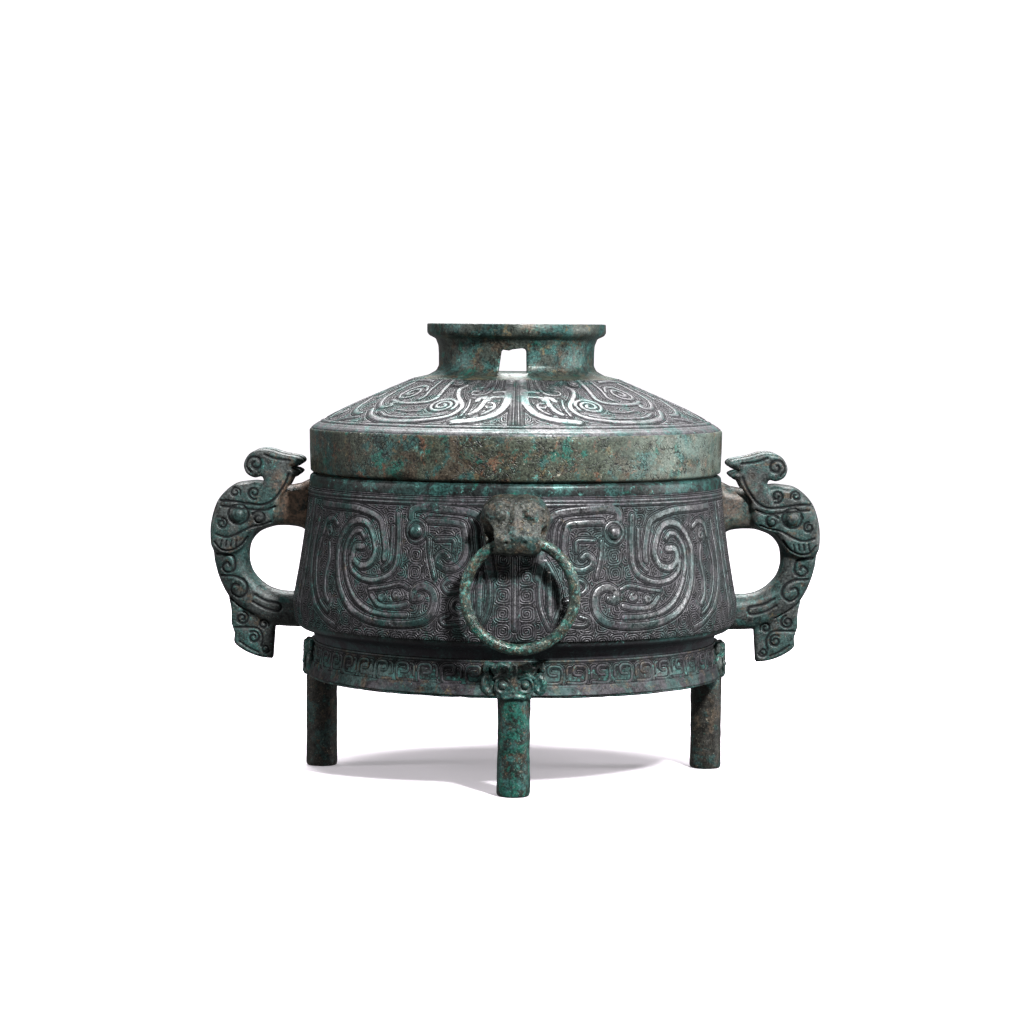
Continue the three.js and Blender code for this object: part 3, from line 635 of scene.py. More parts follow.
def relief_bronze(name, amounts, shine, painted_side_light, dirt_and_shade=0.93, ground_lit=0.4, painted_middle_highlight=0.0, bare=(0.05, 0.45),
    tone=1.0):
    """Bronze with cast relief: worn and paler on the bands, dark with dirt and painted shade in the lines;
    paler to the right as painted light, and on the dome paler in the middle as a painted highlight.
    """
    shader = Shader(name)
    edge, hollow = relief_lines(shader)
    fine_grain(shader, 0.05)
    top = shader.rise(edge, 0.1, -0.5)
    wear = shader.rise(shader.noise(16, 5, 0.6, shift=5), 0.32, 0.62)
    wear_and_light = shader.plus(shader.times(top, 1 - ground_lit), ground_lit)
    wear_and_light = shader.times(wear_and_light, wear)
    # On the dome the sides are duller and less pale than the middle: a painted highlight in the middle
    if painted_middle_highlight:
        off_centre = shader.math("ABSOLUTE", shader.axis(shader.place, "X"))
        highlight_falloff = shader.rise(off_centre, 14, 50, painted_middle_highlight)
        wear_and_light = shader.times(wear_and_light, shader.minus(1.0, highlight_falloff))
        shine = shader.plus(shader.times(highlight_falloff, 0.16), shine)
    grey = tuple(tone * c for c in BRONZE_GREY)
    # The base is paler on worn tops as real wear, and paler towards the right as painted light from the
    # right side
    base = shader.mix(shader.times(wear_and_light, side_to_side(shader, *painted_side_light)), grey, BRONZE_PALE)
    colour = patina(shader, base, amounts, 0.4)
    green = shader.times(top, shader.rise(shader.noise(14, 5, 0.62, shift=17), 0.46, 0.62, 0.55))
    colour = shader.mix(green, colour, TEAL)
    colour = shader.mix(side_to_side(shader, *bare), colour, mottled(shader, base))
    # The lines darken towards soot: dirt and painted shade
    colour = shader.mix(shader.times(hollow, dirt_and_shade), colour, SOOT_AND_SHADE)
    grain = shader.times(shader.noise(3, 5, 0.6, shift=2), 0.35)
    roughness = shader.plus(grain, shader.times(top, -0.1))
    roughness = shader.plus(roughness, shine)
    roughness = shader.plus(roughness, shader.times(hollow, 0.3))
    # Less shine in the lines keeps them dark: part of the painted shade
    specular = shader.minus(0.45, shader.times(hollow, 0.38))
    open_metal = shader.times(wear_and_light, shader.minus(0.75, shader.times(hollow, 0.75)))
    return shader.finish(colour, roughness, open_metal, specular)


def plain_bronze(
    name, base, amounts, roughness=0.4, metallic=0.2, grain=0.07, spots=0.0, dirt_and_shade=None, crackle=0.0,
        stain=None,
    cove_shade=None, patch=0.6, pale_crust_and_light_right=0.0,
):
    """Bronze without lines: base colour, corrosion and a pitted skin, crackled or stained in places; with
    dirt and painted shade in hollows, painted shade in the cove, and pale crust and painted light on the
    band's right.
    """
    shader = Shader(name)
    fine_grain(shader, grain)
    specular = 0.4
    metal = metallic
    tone = shader.noise(7, 6, 0.65, shift=13)
    deep = tuple(0.55 * c for c in base)
    colour = patina(shader, shader.mix(tone, deep, base), amounts, spots, patch)
    if stain:
        left = shader.rise(shader.axis(shader.place, "X"), 60, -60, 0.9)
        spread = shader.rise(shader.noise(7, 6, 0.7, 0.5, 37), 0.38, 0.52)
        spread = shader.times(spread, shader.plus(left, 0.25, clamp=True))
        spread = shader.times(spread, shader.attribute(stain).outputs["Fac"])
        rusty = shader.rise(shader.noise(2.2, 6, 0.7, shift=41), 0.38, 0.62)
        rusty = shader.mix(rusty, (0.1, 0.075, 0.055), (0.34, 0.22, 0.155))
        colour = shader.mix(spread, colour, rusty)
    # The band grows pale green towards the right: partly pale crust, partly painted light and reflection
    # from the right
    if pale_crust_and_light_right:
        side = shader.rise(shader.axis(shader.place, "X"), 20, 90, pale_crust_and_light_right)
        side = shader.times(side, shader.rise(shader.noise(13, 7, 0.7, shift=47), 0.36, 0.56))
        colour = shader.mix(side, colour, PALE_GREEN)
    # Grooves and hollows turn soot dark and lose shine: dirt and painted shade
    if dirt_and_shade:
        hollow = shader.times(shader.attribute(dirt_and_shade).outputs["Fac"], 0.95, clamp=True)
        colour = shader.mix(hollow, colour, SOOT_AND_SHADE)
        specular = shader.minus(0.4, shader.times(hollow, 0.35))
    # The cove under the belly: a greyer purple bronze colour, with its shine and metal taken away as
    # painted shade
    if cove_shade:
        height = shader.axis(shader.place, "Z")
        low, high = cove_shade
        cove_shade_mask = shader.times(shader.rise(height, low - 2, low), shader.rise(height, high + 3, high))
        colour = shader.mix(shader.times(cove_shade_mask, 0.7), colour, BRONZE_GREY)
        specular = shader.minus(0.4, shader.times(cove_shade_mask, 0.36))
        metal = shader.minus(metallic, shader.times(cove_shade_mask, metallic))
    if crackle:
        crack = shader.minus(1.0, shader.rise(shader.cracks(2.4), 0.03, 0.13))
        crack = shader.times(crack, shader.rise(shader.noise(1.6, 3, 0.6, shift=19), 0.4, 0.6))
        crack = shader.times(crack, shader.rise(shader.noise(11, 4, 0.6, shift=29), 0.45, 0.6, crackle))
        colour = shader.mix(crack, colour, SOOT_AND_SHADE)
        shader.raise_by(shader.times(crack, -0.2))
    rough = shader.plus(shader.times(tone, 0.35), roughness - 0.15)
    return shader.finish(colour, rough, metal, specular)


def make_materials():
    belly = {"dark": 0.55, "teal": 0.5, "brown": 0.25, "ochre": 0.2, "malachite": 0.2, "turquoise": 0.25}
    foot = {"dark": 0.6, "teal": 0.25, "brown": 0.45, "ochre": 0.3, "turquoise": 0.2, "cream": 0.15}
    dome = {"dark": 0.5, "teal": 0.5, "malachite": 0.2, "turquoise": 0.3}
    band = {"dark": 0.5, "teal": 0.6, "brown": 0.5, "ochre": 0.4, "malachite": 0.4, "rust": 0.4,
        "turquoise": 0.3, "cream": 0.25}
    neck = {"dark": 0.65, "teal": 0.6, "malachite": 0.3, "turquoise": 0.35, "brown": 0.2}
    knob = {"dark": 0.6, "teal": 0.6, "brown": 0.4, "ochre": 0.4, "malachite": 0.35, "turquoise": 0.25,
        "cream": 0.15}
    handle = {"dark": 0.7, "teal": 0.35, "brown": 0.35, "ochre": 0.2, "malachite": 0.1, "turquoise": 0.25,
        "cream": 0.15}
    crusty = {"dark": 0.5, "teal": 0.3, "brown": 0.5, "ochre": 0.35, "turquoise": 0.25, "cream": 0.2}
    ring = {"dark": 0.5, "teal": 0.55, "malachite": 0.45, "turquoise": 0.5, "ochre": 0.4, "cream": 0.4,
        "brown": 0.5}
    leg = {"dark": 0.5, "teal": 0.6, "malachite": 0.65, "brown": 0.5, "rust": 0.25, "turquoise": 0.3,
        "cream": 0.25}
    mask = {"dark": 0.4, "teal": 0.65, "malachite": 0.45, "brown": 0.4, "turquoise": 0.4, "cream": 0.3}
    dark_leg = {"dark": 0.6, "teal": 0.3, "brown": 0.5, "rust": 0.15, "ochre": 0.25, "malachite": 0.25,
        "cream": 0.25}
    cove = (FOOT_PANEL[1] + 1, BELLY_PANEL[0] - 3)
    return {
        # belly_bronze: paler to the right as painted light
        "belly": relief_bronze("belly_bronze", belly, 0.29, (0.25, 0.8)),
        # dome_bronze: paler and more metallic in the middle as a painted highlight
        "dome": relief_bronze("dome_bronze", dome, 0.26, (0.9, 1.0), 0.8, 0.8, 0.8, (0.0, 0.1)),
        "foot": relief_bronze("foot_bronze", foot, 0.48, (0.0, 0.0), 0.9, 0.05, 0.0, (0.0, 0.1), 0.62),
        # bowl_bronze: painted shade in the cove under the belly
        "bowl": plain_bronze("bowl_bronze", (0.02, 0.025, 0.025), neck, 0.38, 0.3, cove_shade=cove, patch=0.8),
        # band_bronze: pale crust and painted light on the right
        "band": plain_bronze("band_bronze", (0.056, 0.066, 0.048), band, 0.36, 0.2, 0.2, 0.6, crackle=1.0,
            patch=1.3, pale_crust_and_light_right=0.6),
        "knob": plain_bronze("knob_bronze", (0.05, 0.062, 0.053), knob, 0.34, 0.3, 0.16, 0.5, patch=1.0),
        # handle, head and mask: dirt and painted shade in their grooves and hollows
        "handle": plain_bronze("handle_bronze", (0.048, 0.056, 0.055), handle, 0.42, 0.12, 0.18, 0.6,
            "carve", stain="arm"),
        "head": plain_bronze("head_bronze", (0.042, 0.046, 0.039), crusty, 0.36, 0.15, 0.45, 0.9, "carve",
            patch=0.4),
        "mask": plain_bronze("mask_bronze", (0.05, 0.064, 0.06), mask, 0.36, 0.2, 0.18, 0.6, "carve",
            patch=0.5),
        "ring": plain_bronze("ring_bronze", (0.045, 0.06, 0.05), ring, 0.32, 0.2, 0.28, 0.9, patch=0.45),
        "leg": plain_bronze("leg_bronze", (0.02, 0.03, 0.026), leg, 0.36, 0.2, 0.2, 0.6, patch=0.5),
        "dark_leg": plain_bronze("dark_leg_bronze", (0.03, 0.029, 0.025), dark_leg, 0.38, 0.2, 0.2, 0.5,
            patch=0.5),
    }


# Bowl and its relief

def belly_radius(height):
    up = np.clip((RIM - height) / (RIM - BELLY_HEIGHT), 0, 1)
    down = np.clip((BELLY_HEIGHT - height) / (BELLY_HEIGHT - BELLY_EDGE), 0, 1)
    above = MOUTH_RADIUS + (BELLY_RADIUS - MOUTH_RADIUS) * up ** 1.5
    below = BELLY_EDGE_RADIUS + (BELLY_RADIUS - BELLY_EDGE_RADIUS) * np.sqrt(1 - down**2)
    return np.where(height >= BELLY_HEIGHT, above, below)


def foot_radius(height):
    t = np.clip((FOOT_TOP - height) / (FOOT_TOP - FOOT_BOTTOM), 0, 1)
    return FOOT_TOP_RADIUS + (FOOT_BOTTOM_RADIUS - FOOT_TOP_RADIUS) * t**2


def bowl_floor(radius):
    t = np.clip(radius / (BELLY_RADIUS - WALL), 0, 1)
    return FOOT_TOP - 1 + (BELLY_HEIGHT - FOOT_TOP + 1) * (1 - np.sqrt(1 - t**3))


def bowl_profile():
    """From the middle of the underside, down inside the foot, up the outside and back down the inside."""
    under = [(r, float(bowl_floor(r)) - WALL) for r in np.linspace(0, FOOT_TOP_RADIUS - FOOT_WALL, 9)]
    skirt_in = [(FOOT_BOTTOM_RADIUS - FOOT_WALL, FOOT_BOTTOM + 0.4),
        (FOOT_BOTTOM_RADIUS - 0.3, FOOT_BOTTOM)]
    foot_low, foot_high = FOOT_PANEL
    skirt_out = [
        (float(foot_radius(foot_low)), foot_low - 0.1),
            (float(foot_radius(foot_low)) - RECESS, foot_low + 0.1),
        (float(foot_radius(foot_high)) - RECESS, foot_high - 0.1),
            (float(foot_radius(foot_high)), foot_high + 0.1),
    ]
    cove = [(FOOT_TOP_RADIUS, FOOT_TOP), (FOOT_TOP_RADIUS + 0.7, FOOT_TOP + 2.6),
        (FOOT_TOP_RADIUS + 3, FOOT_TOP + 4.2)]
    low, high = BELLY_PANEL
    edge = [(float(belly_radius(z)), z) for z in (BELLY_EDGE + 0.1, BELLY_EDGE + 1, low - 1.2, low - 0.1)]
    recess = [(float(belly_radius(z)) - RECESS, z) for z in np.linspace(low + 0.1, high - 0.1, 14)]
    neck = [(float(belly_radius(high)), high + 0.1), (MOUTH_RADIUS, RIM - 1.4),
        (MOUTH_RADIUS - 1.3, RIM - 0.2)]
    inside = [(float(belly_radius(z)) - WALL, z) for z in np.linspace(RIM - 0.2, BELLY_HEIGHT, 9)]
    floor = [(r, float(bowl_floor(r))) for r in np.linspace(BELLY_RADIUS - WALL - 1, 0, 16)]
    return np.array([*under, *skirt_in, *skirt_out, *cove, *edge, *recess, *neck, *inside, *floor])


def make_bowl(material):
    profile = refined(rounded(bowl_profile(), 0.7, 2), 3.2)
    points, faces = revolve(profile, 180, 0.12, 5)
    bottom = points[:, 2] < FOOT_BOTTOM + 1.5
    points[bottom, 2] += 0.7 * np.maximum(0, crust(points[bottom], 3, (9, 3.5)))
    add_piece("bowl", points, faces, material, "vessel", "body_bronze", ("vessel",))


def belly_strokes():
    """Bands of one crested bird, as widths and lines of (degrees, height)."""
    claw_and_plume = [
        (23.9, 93.8), (25.5, 93.2), (25.7, 96.9), (23.5, 99.4), (20.8, 97.2), (19.9, 92), (20.7, 86.2),
            (23.6, 82.4),
        (30.5, 80.8), (38.5, 82), (45, 87), (50, 96), (52.5, 107.5), (52.6, 117.5), (49, 126), (45, 128.2),
        (41.6, 126.4), (39.6, 121), (38.5, 114), (40.1, 108.3), (43.6, 107.2), (46.3, 110.5), (46, 115.5),
            (43, 116),
    ]
    inner_plume = [(27.5, 85.2), (33, 84.9), (38, 86.4), (43.2, 91), (47, 98.5), (49.4, 107.5), (49.6, 116),
        (47.2, 122), (44.6, 123.2), (43, 121)]
    return [
        (3.0, claw_and_plume),
        (2.2, inner_plume),
        (3.0, [(28, 131), (27.7, 134.6), (24, 136), (20.7, 135.6), (13.1, 134.6), (9.6, 132.4), (7.8, 128),
            (7.1, 121), (6.6, 113), (5.7, 104)]),
        (1.4, [(11.4, 130.6), (10.2, 127), (9.8, 121), (9.4, 115.5)]),
        (1.3, [(7.4, 112), (6.4, 104), (6.0, 96), (6.6, 88), (8.4, 80)]),
        (1.3, [(7.8, 112), (9.6, 106), (11.0, 98), (10.8, 90), (9.2, 82)]),
        (2.2, [(8.4, 106), (8.6, 97), (8.6, 87)]),
        (2.2, [(23, 129.6), (14.6, 128.9), (13, 125.5), (12.4, 117), (13, 112), (14.6, 108.5),
            (17.1, 107.4), (19.4, 109.3), (19.9, 112.5), (18.4, 114.6), (17.1, 112.8)]),
        (1.2, [(22.6, 121), (22, 112.6), (20.5, 103.6)]),
        (1.2, [(20.6, 121), (16, 121), (15.6, 116)]),
        (2.8, [(64, 134.8), (58, 134.4), (52.4, 134.3), (46.9, 134), (42.4, 132.6), (38, 129.6),
            (36.6, 124), (35.4, 116), (35.4, 111)]),
        (2.2, [(32, 132), (31.3, 121), (31.3, 110), (33, 104.2), (37.5, 100.8), (42.6, 101.4), (46.3, 105),
            (47.4, 110)]),
        (1.2, [(33.6, 126), (33.4, 118), (33.6, 110), (35.6, 106.4)]),
        (2.0, [(38.3, 93.6), (35.5, 89.4), (31, 89), (27.6, 90.4)]),
        (1.5, [(39.2, 96.4), (34.8, 97.6), (29.8, 99.6), (27.3, 98)]),
        (1.2, coil((30.6, 94.6), 2.0, 0.6, 200, 1.3, 0.53)),
        (1.2, coil((34.9, 93.2), 1.8, 0.6, 20, -1.3, 0.53)),
        (2.6, [(65.5, 127), (67.2, 112), (65.8, 99), (62, 89), (56, 80.8), (51.5, 77.6)]),
        (1.3, [(62.4, 118), (63.6, 108), (62, 97.4), (58.4, 89), (54, 84)]),
        (2.1, [(57.6, 116), (56.6, 109), (57.4, 101), (56.4, 93), (54.4, 89)]),
        (2.2, [(61.8, 120.6), (60.8, 126), (57.4, 128), (54.6, 125.6)]),
        (1.2, coil((58.4, 121.6), 2.6, 0.8, 90, 1.2, 0.53)),
        (1.2, [(13.5, 101), (16.5, 102.6), (18, 99.6), (16.6, 96.8), (14, 97.6)]),
        (1.2, [(12, 93), (14.6, 93.4), (15.4, 89.6), (13.6, 87), (12, 88.6)]),
        (1.2, [(13, 82.4), (17, 81.6), (18, 84.4), (16, 86)]),
        (1.4, [(70.4, 136), (71.2, 110), (70.4, 80)]),
        (1.0, [(73.4, 136), (74.4, 110), (73.4, 80)]),
        (1.1, [(0, 113), (0, 80)]),
        (1.1, [(0, 139.4), (90, 139.4)]),
        (0.9, [(0, 137.8), (90, 137.8)]),
    ]


def band_edge(points, strokes, to_plane):
    """Signed distance to the nearest edge of any band, negative on the bands."""
    edge = np.full(len(points), 6.0)
    for width, line in strokes:
        line = curve(to_plane(np.asarray(line, float)))
        edge = np.minimum(edge, distance_to_line(points, line, 7 + width / 2) - width / 2)
    return edge


def wrapped(values, period, shift=0.0):
    """Distance along a row of cells from the middle of the nearest one."""
    return (values - shift + period / 2) % period - period / 2


def on_belly(line):
    line = np.array(line, float)
    line[:, 0] = np.radians(line[:, 0]) * BELLY_RADIUS
    return line


def belly_fields(step):
    """Angles, heights and the relief of one quarter of the belly."""
    low, high = BELLY_PANEL
    degrees = np.linspace(0, 90, int(BELLY_RADIUS * math.pi / 2 / step))
    heights = np.linspace(low, high, int((high - low) / step))
    flat = np.stack(np.meshgrid(degrees, heights), axis=-1).reshape(-1, 2)
    plane = on_belly(flat)
    edge = band_edge(plane, belly_strokes(), on_belly)
    eye = np.linalg.norm(plane - on_belly([(26.3, 124.6)]), axis=1)
    edge = np.minimum(edge, np.abs(eye - 5) - 0.55)
    edge = np.where(eye < 4.2, np.maximum(eye - 3.3, -0.4), edge)
    lift = 0.48 * smoothstep(0.25, -0.25, edge)
    lift = np.maximum(lift, RECESS * smoothstep(low + 4.5, low + 0.5, flat[:, 1]))
    lift += np.where(eye < 3.4, 2.1 * np.sqrt(np.clip(1 - (eye / 3.4) ** 2, 0, 1)), 0)
    middle = plane[:, 0] < 10.6
    cell_x = np.where(middle, plane[:, 0] - 5.6, wrapped(plane[:, 0], SPIRAL_CELL, 2.4))
    cell_y = np.where(middle, wrapped(plane[:, 1], 8.35, 79.1), wrapped(plane[:, 1], SPIRAL_CELL, 1.3))
    cells = np.stack([cell_x, cell_y, 0 * cell_x], axis=1)
    shape = (len(heights), len(degrees))
    return degrees, heights, lift.reshape(shape), edge.reshape(shape), cells.reshape(*shape, 3)


def edged(array):
    """The array with its first and last rows repeated once."""
    pad = [(1, 1)] + [(0, 0)] * (array.ndim - 1)
    return np.pad(array, pad, mode="edge")


def add_skin(name, fields, place, sides, material, slot, rough, seed):
    """One quarter of a relief skin, whose upper and lower borders turn down into the body below it."""
    degrees, heights, lift, edge, cells = fields
    turn, along = np.meshgrid(np.radians(degrees), heights)
    turn, along, lift, edge, cells = edged(turn), edged(along), edged(lift), edged(edge), edged(cells)
    across, front = sides
    points = place(turn, along, lift) * np.array([across, -front, 1])
    push = rough * crust(points.reshape(-1, 3), seed, (5, 1.8)).reshape(lift.shape)
    lift = lift + push
    lift[[0, -1]] = -SKIN_ROOT
    points = place(turn, along, lift) * np.array([across, -front, 1])
    faces = grid_faces(*lift.shape, flip=across * front < 0)
    add_piece(name, points.reshape(-1, 3), faces, material, "vessel", slot, (), edge=edge.ravel(),
        cell=cells.reshape(-1, 3))


def quarters(name, make_fields, steps, place, material, slot, rough, seed):
    """The four quarters of a relief, the two at the back on a coarser grid."""
    for where, front in (("front", 1), ("back", -1)):
        fields = make_fields(steps[where])
        for side, across in (("right", 1), ("left", -1)):
            add_skin(f"{name}_{where}_{side}", fields, place, (across, front), material, slot, rough, seed)


def around(turn, radius, height):
    return np.stack([radius * np.sin(turn), radius * np.cos(turn), height], axis=-1)


def place_on_belly(turn, height, lift):
    return around(turn, belly_radius(height) + lift, height)


def place_on_foot(turn, height, lift):
    return around(turn, foot_radius(height) + lift, height)


def foot_strokes():
    """A row of hooked scrolls between border lines, as widths and lines of (millimetres, height)."""
    count = 13
    pitch = FOOT_BOTTOM_RADIUS * math.pi / 2 / count
    hook = [
        (0.09, 53.8), (0.72, 53.6), (0.84, 55.6), (0.86, 59.4), (0.76, 61.2), (0.4, 61.4), (0.32, 59.4),
            (0.38, 57.4),
        (0.62, 57.2),
    ]
    rows = []
    for i in range(count):
        rows.append((1.15, [((i + x) * pitch, z) for x, z in hook]))
        rows.append((1.0, [((i + 0.06) * pitch, 56.2), ((i + 0.08) * pitch, 60.8),
            ((i + 0.22) * pitch, 61.4)]))
    length = FOOT_BOTTOM_RADIUS * math.pi / 2
    lines = [(1.0, [(0, z), (length, z)]) for z in (63.9, 52.3)]
    return rows + lines


def foot_fields(step):
    low, high = FOOT_PANEL
    degrees = np.linspace(0, 90, int(FOOT_BOTTOM_RADIUS * math.pi / 2 / step))
    heights = np.linspace(low, high, int((high - low) / step))
    along, up = np.meshgrid(np.radians(degrees) * FOOT_BOTTOM_RADIUS, heights)
    plane = np.stack([along.ravel(), up.ravel()], axis=1)
    edge = band_edge(plane, foot_strokes(), lambda line: line)
    edge = np.where(plane[:, 1] < 51.6, -0.4, edge)
    lift = 0.5 * smoothstep(0.25, -0.25, edge)
    cells = np.stack([wrapped(plane[:, 0], 6), wrapped(plane[:, 1], 6, 56), 0 * lift], axis=1)
    shape = (len(heights), len(degrees))
    return degrees, heights, lift.reshape(shape), edge.reshape(shape), cells.reshape(*shape, 3)


# Lid

def dome_height(radius):
    t = (radius - KNOB_FOOT_RADIUS) / (LID_RADIUS - KNOB_FOOT_RADIUS)
    return LID_TOP - (LID_TOP - LID_SHOULDER) * (0.88 * t + 0.12 * np.maximum(0, t) ** 6)


def place_on_dome(turn, radius, lift):
    return around(turn, radius, dome_height(radius) + lift)


def lid_profile():
    """From the middle of the knob's floor, over its rim and down the outside, then back up the inside."""
    rim_low = KNOB_TOP - 6
    inner = KNOB_NECK_RADIUS - 2.8
    flange = MOUTH_RADIUS - WALL - 0.5
    low, high = DOME_PANEL
    dome = [
        (low - 0.1, float(dome_height(low))), (low + 0.1, float(dome_height(low)) - RECESS),
        *[(r, float(dome_height(r)) - RECESS) for r in np.linspace(low + 3, high - 2, 10)],
        (high - 0.1, float(dome_height(high)) - RECESS), (high + 0.1, float(dome_height(high))),
    ]
    ceiling = [(r, float(dome_height(r)) - WALL - 0.5) for r in np.linspace(98, KNOB_FOOT_RADIUS, 10)]
    return np.array([
        (0, KNOB_FLOOR), (inner - 8, KNOB_FLOOR + 0.6), (inner, KNOB_FLOOR + 2.5), (inner + 1, rim_low),
        (KNOB_RIM_RADIUS - 4.4, KNOB_TOP - 0.3), (KNOB_RIM_RADIUS - 2.6, KNOB_TOP),
            (KNOB_RIM_RADIUS, KNOB_TOP - 0.2),
        (KNOB_RIM_RADIUS, rim_low + 1.5), (KNOB_RIM_RADIUS - 0.9, rim_low),
            (KNOB_NECK_RADIUS + 1.6, rim_low - 1.6),
        (KNOB_NECK_RADIUS + 0.3, rim_low - 5), (KNOB_NECK_RADIUS, rim_low - 9),
            (KNOB_NECK_RADIUS, LID_TOP + 6),
        (KNOB_NECK_RADIUS + 1.2, LID_TOP + 3.6), (KNOB_NECK_RADIUS + 5, LID_TOP + 1.4),
            (KNOB_FOOT_RADIUS, LID_TOP),
        *dome,
        (LID_RADIUS, LID_SHOULDER), (LID_RADIUS - 0.1, LID_SEAT + 12), (LID_RADIUS - 0.5, LID_SEAT + 1.1),
        (LID_RADIUS - 1.4, LID_SEAT + 0.3), (flange + 1, LID_SEAT), (flange, LID_SEAT - 0.3),
            (flange, LID_LOW[2]),
        (flange - WALL, LID_LOW[2]), (flange - WALL, LID_SEAT + WALL),
            (LID_RADIUS - WALL - 0.5, LID_SEAT + 2 * WALL),
        (LID_RADIUS - WALL - 0.5, LID_SHOULDER - WALL), *ceiling, (0, KNOB_FLOOR - WALL),
    ])


def cut_windows(piece):
    """Cuts the arched windows through the knob's neck, front and back."""
    half = WINDOW_WIDTH / 2
    top = KNOB_FLOOR + WINDOW_HEIGHT
    arch = [
        (half - 0.2, top - 2.2), (half - 1, top - 0.8), (half - 2.4, top - 0.4), (-0.6, top - 1),
            (-2.2, top - 1.6),
        (1.4 - half, top - 1.2), (0.4 - half, top - 2.4),
    ]
    outline = [(-half - 1, KNOB_FLOOR - 0.6), (half, KNOB_FLOOR - 0.6), *arch]
    reach = KNOB_RIM_RADIUS + 4
    count = len(outline)
    points = [(x - 1.4, y, z) for y in (reach, -reach) for x, z in outline]
    sides = [[i, (i + 1) % count, count + (i + 1) % count, count + i] for i in range(count)]
    mesh = bpy.data.meshes.new("window_cutter")
    mesh.from_pydata(np.array(points) * MM, [],
        [list(range(count))[::-1], list(range(count, 2 * count)), *sides])
    cutter = bpy.data.objects.new("window_cutter", mesh)
    bpy.context.scene.collection.objects.link(cutter)
    modifier = piece.modifiers.new("windows", "BOOLEAN")
    modifier.operation = "DIFFERENCE"
    modifier.object = cutter
    depsgraph = bpy.context.evaluated_depsgraph_get()
    cut = bpy.data.meshes.new_from_object(piece.evaluated_get(depsgraph))
    piece.modifiers.clear()
    piece.data = cut
    bpy.data.objects.remove(cutter)


def make_lid(band, knob):
    profile = refined(rounded(lid_profile(), 0.6, 2), 2.6)
    points, faces = revolve(profile[::-1], 200, 0.13, 21)
    edge = (points[:, 2] < LID_SEAT + 1.5) & (np.hypot(points[:, 0], points[:, 1]) > LID_RADIUS - 2)
    points[edge, 2] += 0.8 * np.maximum(0, value_noise(points[edge], 14, 8) - 0.1)
    lip = points[:, 2] > KNOB_TOP - 7
    points[lip, 2] += 0.45 * np.minimum(0, crust(points[lip], 12, (5, 2)))
    points[lip, :2] *= 1 + 0.006 * crust(points[lip], 14, (4, 1.6))[:, None]
    lid = add_piece("lid_body", points, faces, band, "vessel", "lid_bronze", ("lid",))
    cut_windows(lid)
    lid.data.materials.append(knob)
    for face in lid.data.polygons:
        x, y, z = face.center / MM
        face.material_index = int(math.hypot(x, y) < KNOB_FOOT_RADIUS + 0.6 and z > KNOB_FLOOR - 2)


def dome_strokes():
    """Bands of one crested bird on the dome, as widths and lines of (degrees, radius)."""
    breast = [(3.4, 51), (3.4, 62), (3.4, 72.5), (4.2, 79), (6, 85), (8.6, 89), (11.8, 91.2), (15.2, 92.4),
        (18.6, 93.2)]
    hook = [
        (24.6, 57), (26, 61.6), (24.4, 67), (21.8, 72), (19.4, 77), (19, 82), (20.4, 87), (23, 89.8),
            (27, 91.6), (32, 93),
        (38, 93.6), (44.4, 93), (51, 90), (55.6, 84.6),
    ]
    fold = [(35.6, 52), (34.5, 60), (33, 67.4), (32.8, 72.6), (35.4, 75.6), (42, 77), (48.6, 76.6),
        (53, 74.6)]
    comma = [(64.6, 56), (63.6, 67), (61.4, 73.4), (56, 79.6), (51.6, 82), (49, 80), (50.6, 78.4)]
    return [
        (3.8, breast),
        (2.0, [(4.6, 63.4), (7, 63.6), (9.4, 64.2)]),
        (2.2, [(4.8, 68.6), (7.5, 69), (9.8, 69.6), (10.4, 73)]),
        (1.5, [(10, 75.4), (8.2, 75.4), (7.4, 79), (8.6, 83), (10.6, 86.2)]),
        (1.2, [(8.4, 79), (9.6, 80.4), (10.4, 78.4)]),
        (2.6, [(14.6, 73.4), (14, 70.6), (11.8, 69.4), (11.8, 74), (12.1, 78.6), (13, 83), (14.6, 86.4)]),
        (1.3, [(10.8, 51), (10.5, 60), (12.3, 65.4), (15.2, 67.2), (18.4, 66.4), (18.8, 63.4), (16.4, 63)]),
        (1.1, [(14, 52), (14, 58.4), (18.6, 60.4)]),
        (2.4, hook),
        (1.2, [(23.4, 87), (28, 89.4), (36, 90.2), (43.6, 89.6), (49, 86.4)]),
        (1.7, coil((26.6, 78.4), 7.2, 1.2, 150, 2.3, 0.75)),
        (1.2, [(17.6, 72), (16.6, 80), (17.2, 88)]),
        (1.1, [(33, 84), (38, 84.6), (43, 83.6)]),
        (2.2, fold),
        (1.5, [(43.2, 53), (41.2, 63), (39.2, 69.6), (40, 73)]),
        (1.7, coil((49.6, 66.4), 8.2, 1.4, 200, 1.9, 0.85)),
        (2.2, comma),
        (1.8, [(49.5, 53.4), (60.3, 52.6), (71, 55.4), (75, 62), (76.4, 69)]),
        (1.3, [(70, 60), (70.4, 67), (68.6, 73)]),
        (2.2, [(74.6, 74), (71, 78.6), (67.8, 84), (62.6, 88), (58.2, 88.4)]),
        (1.4, [(66, 95), (60.6, 92.6), (57, 91.6)]),
        (1.4, coil((74.6, 88.6), 3.6, 1, 90, 1.5, 0.65)),
        (1.6, [(80.6, 52), (81.6, 72), (80.6, 86), (77, 94)]),
        (1.2, [(85, 52), (86, 75), (85, 94)]),
        *[(0.5, [(0.85 * i, 51), (0.85 * i, 95)]) for i in range(3)],
        (1.0, [(a, 96.8) for a in range(0, 96, 5)]),
        (1.3, [(a, 100.6) for a in range(0, 96, 5)]),
    ]


def on_disc(line):
    """Turns degrees and radius into flat places on the lid seen from above."""
    line = np.asarray(line, float)
    turn = np.radians(line[:, 0])
    return np.stack([line[:, 1] * np.sin(turn), line[:, 1] * np.cos(turn)], axis=1)


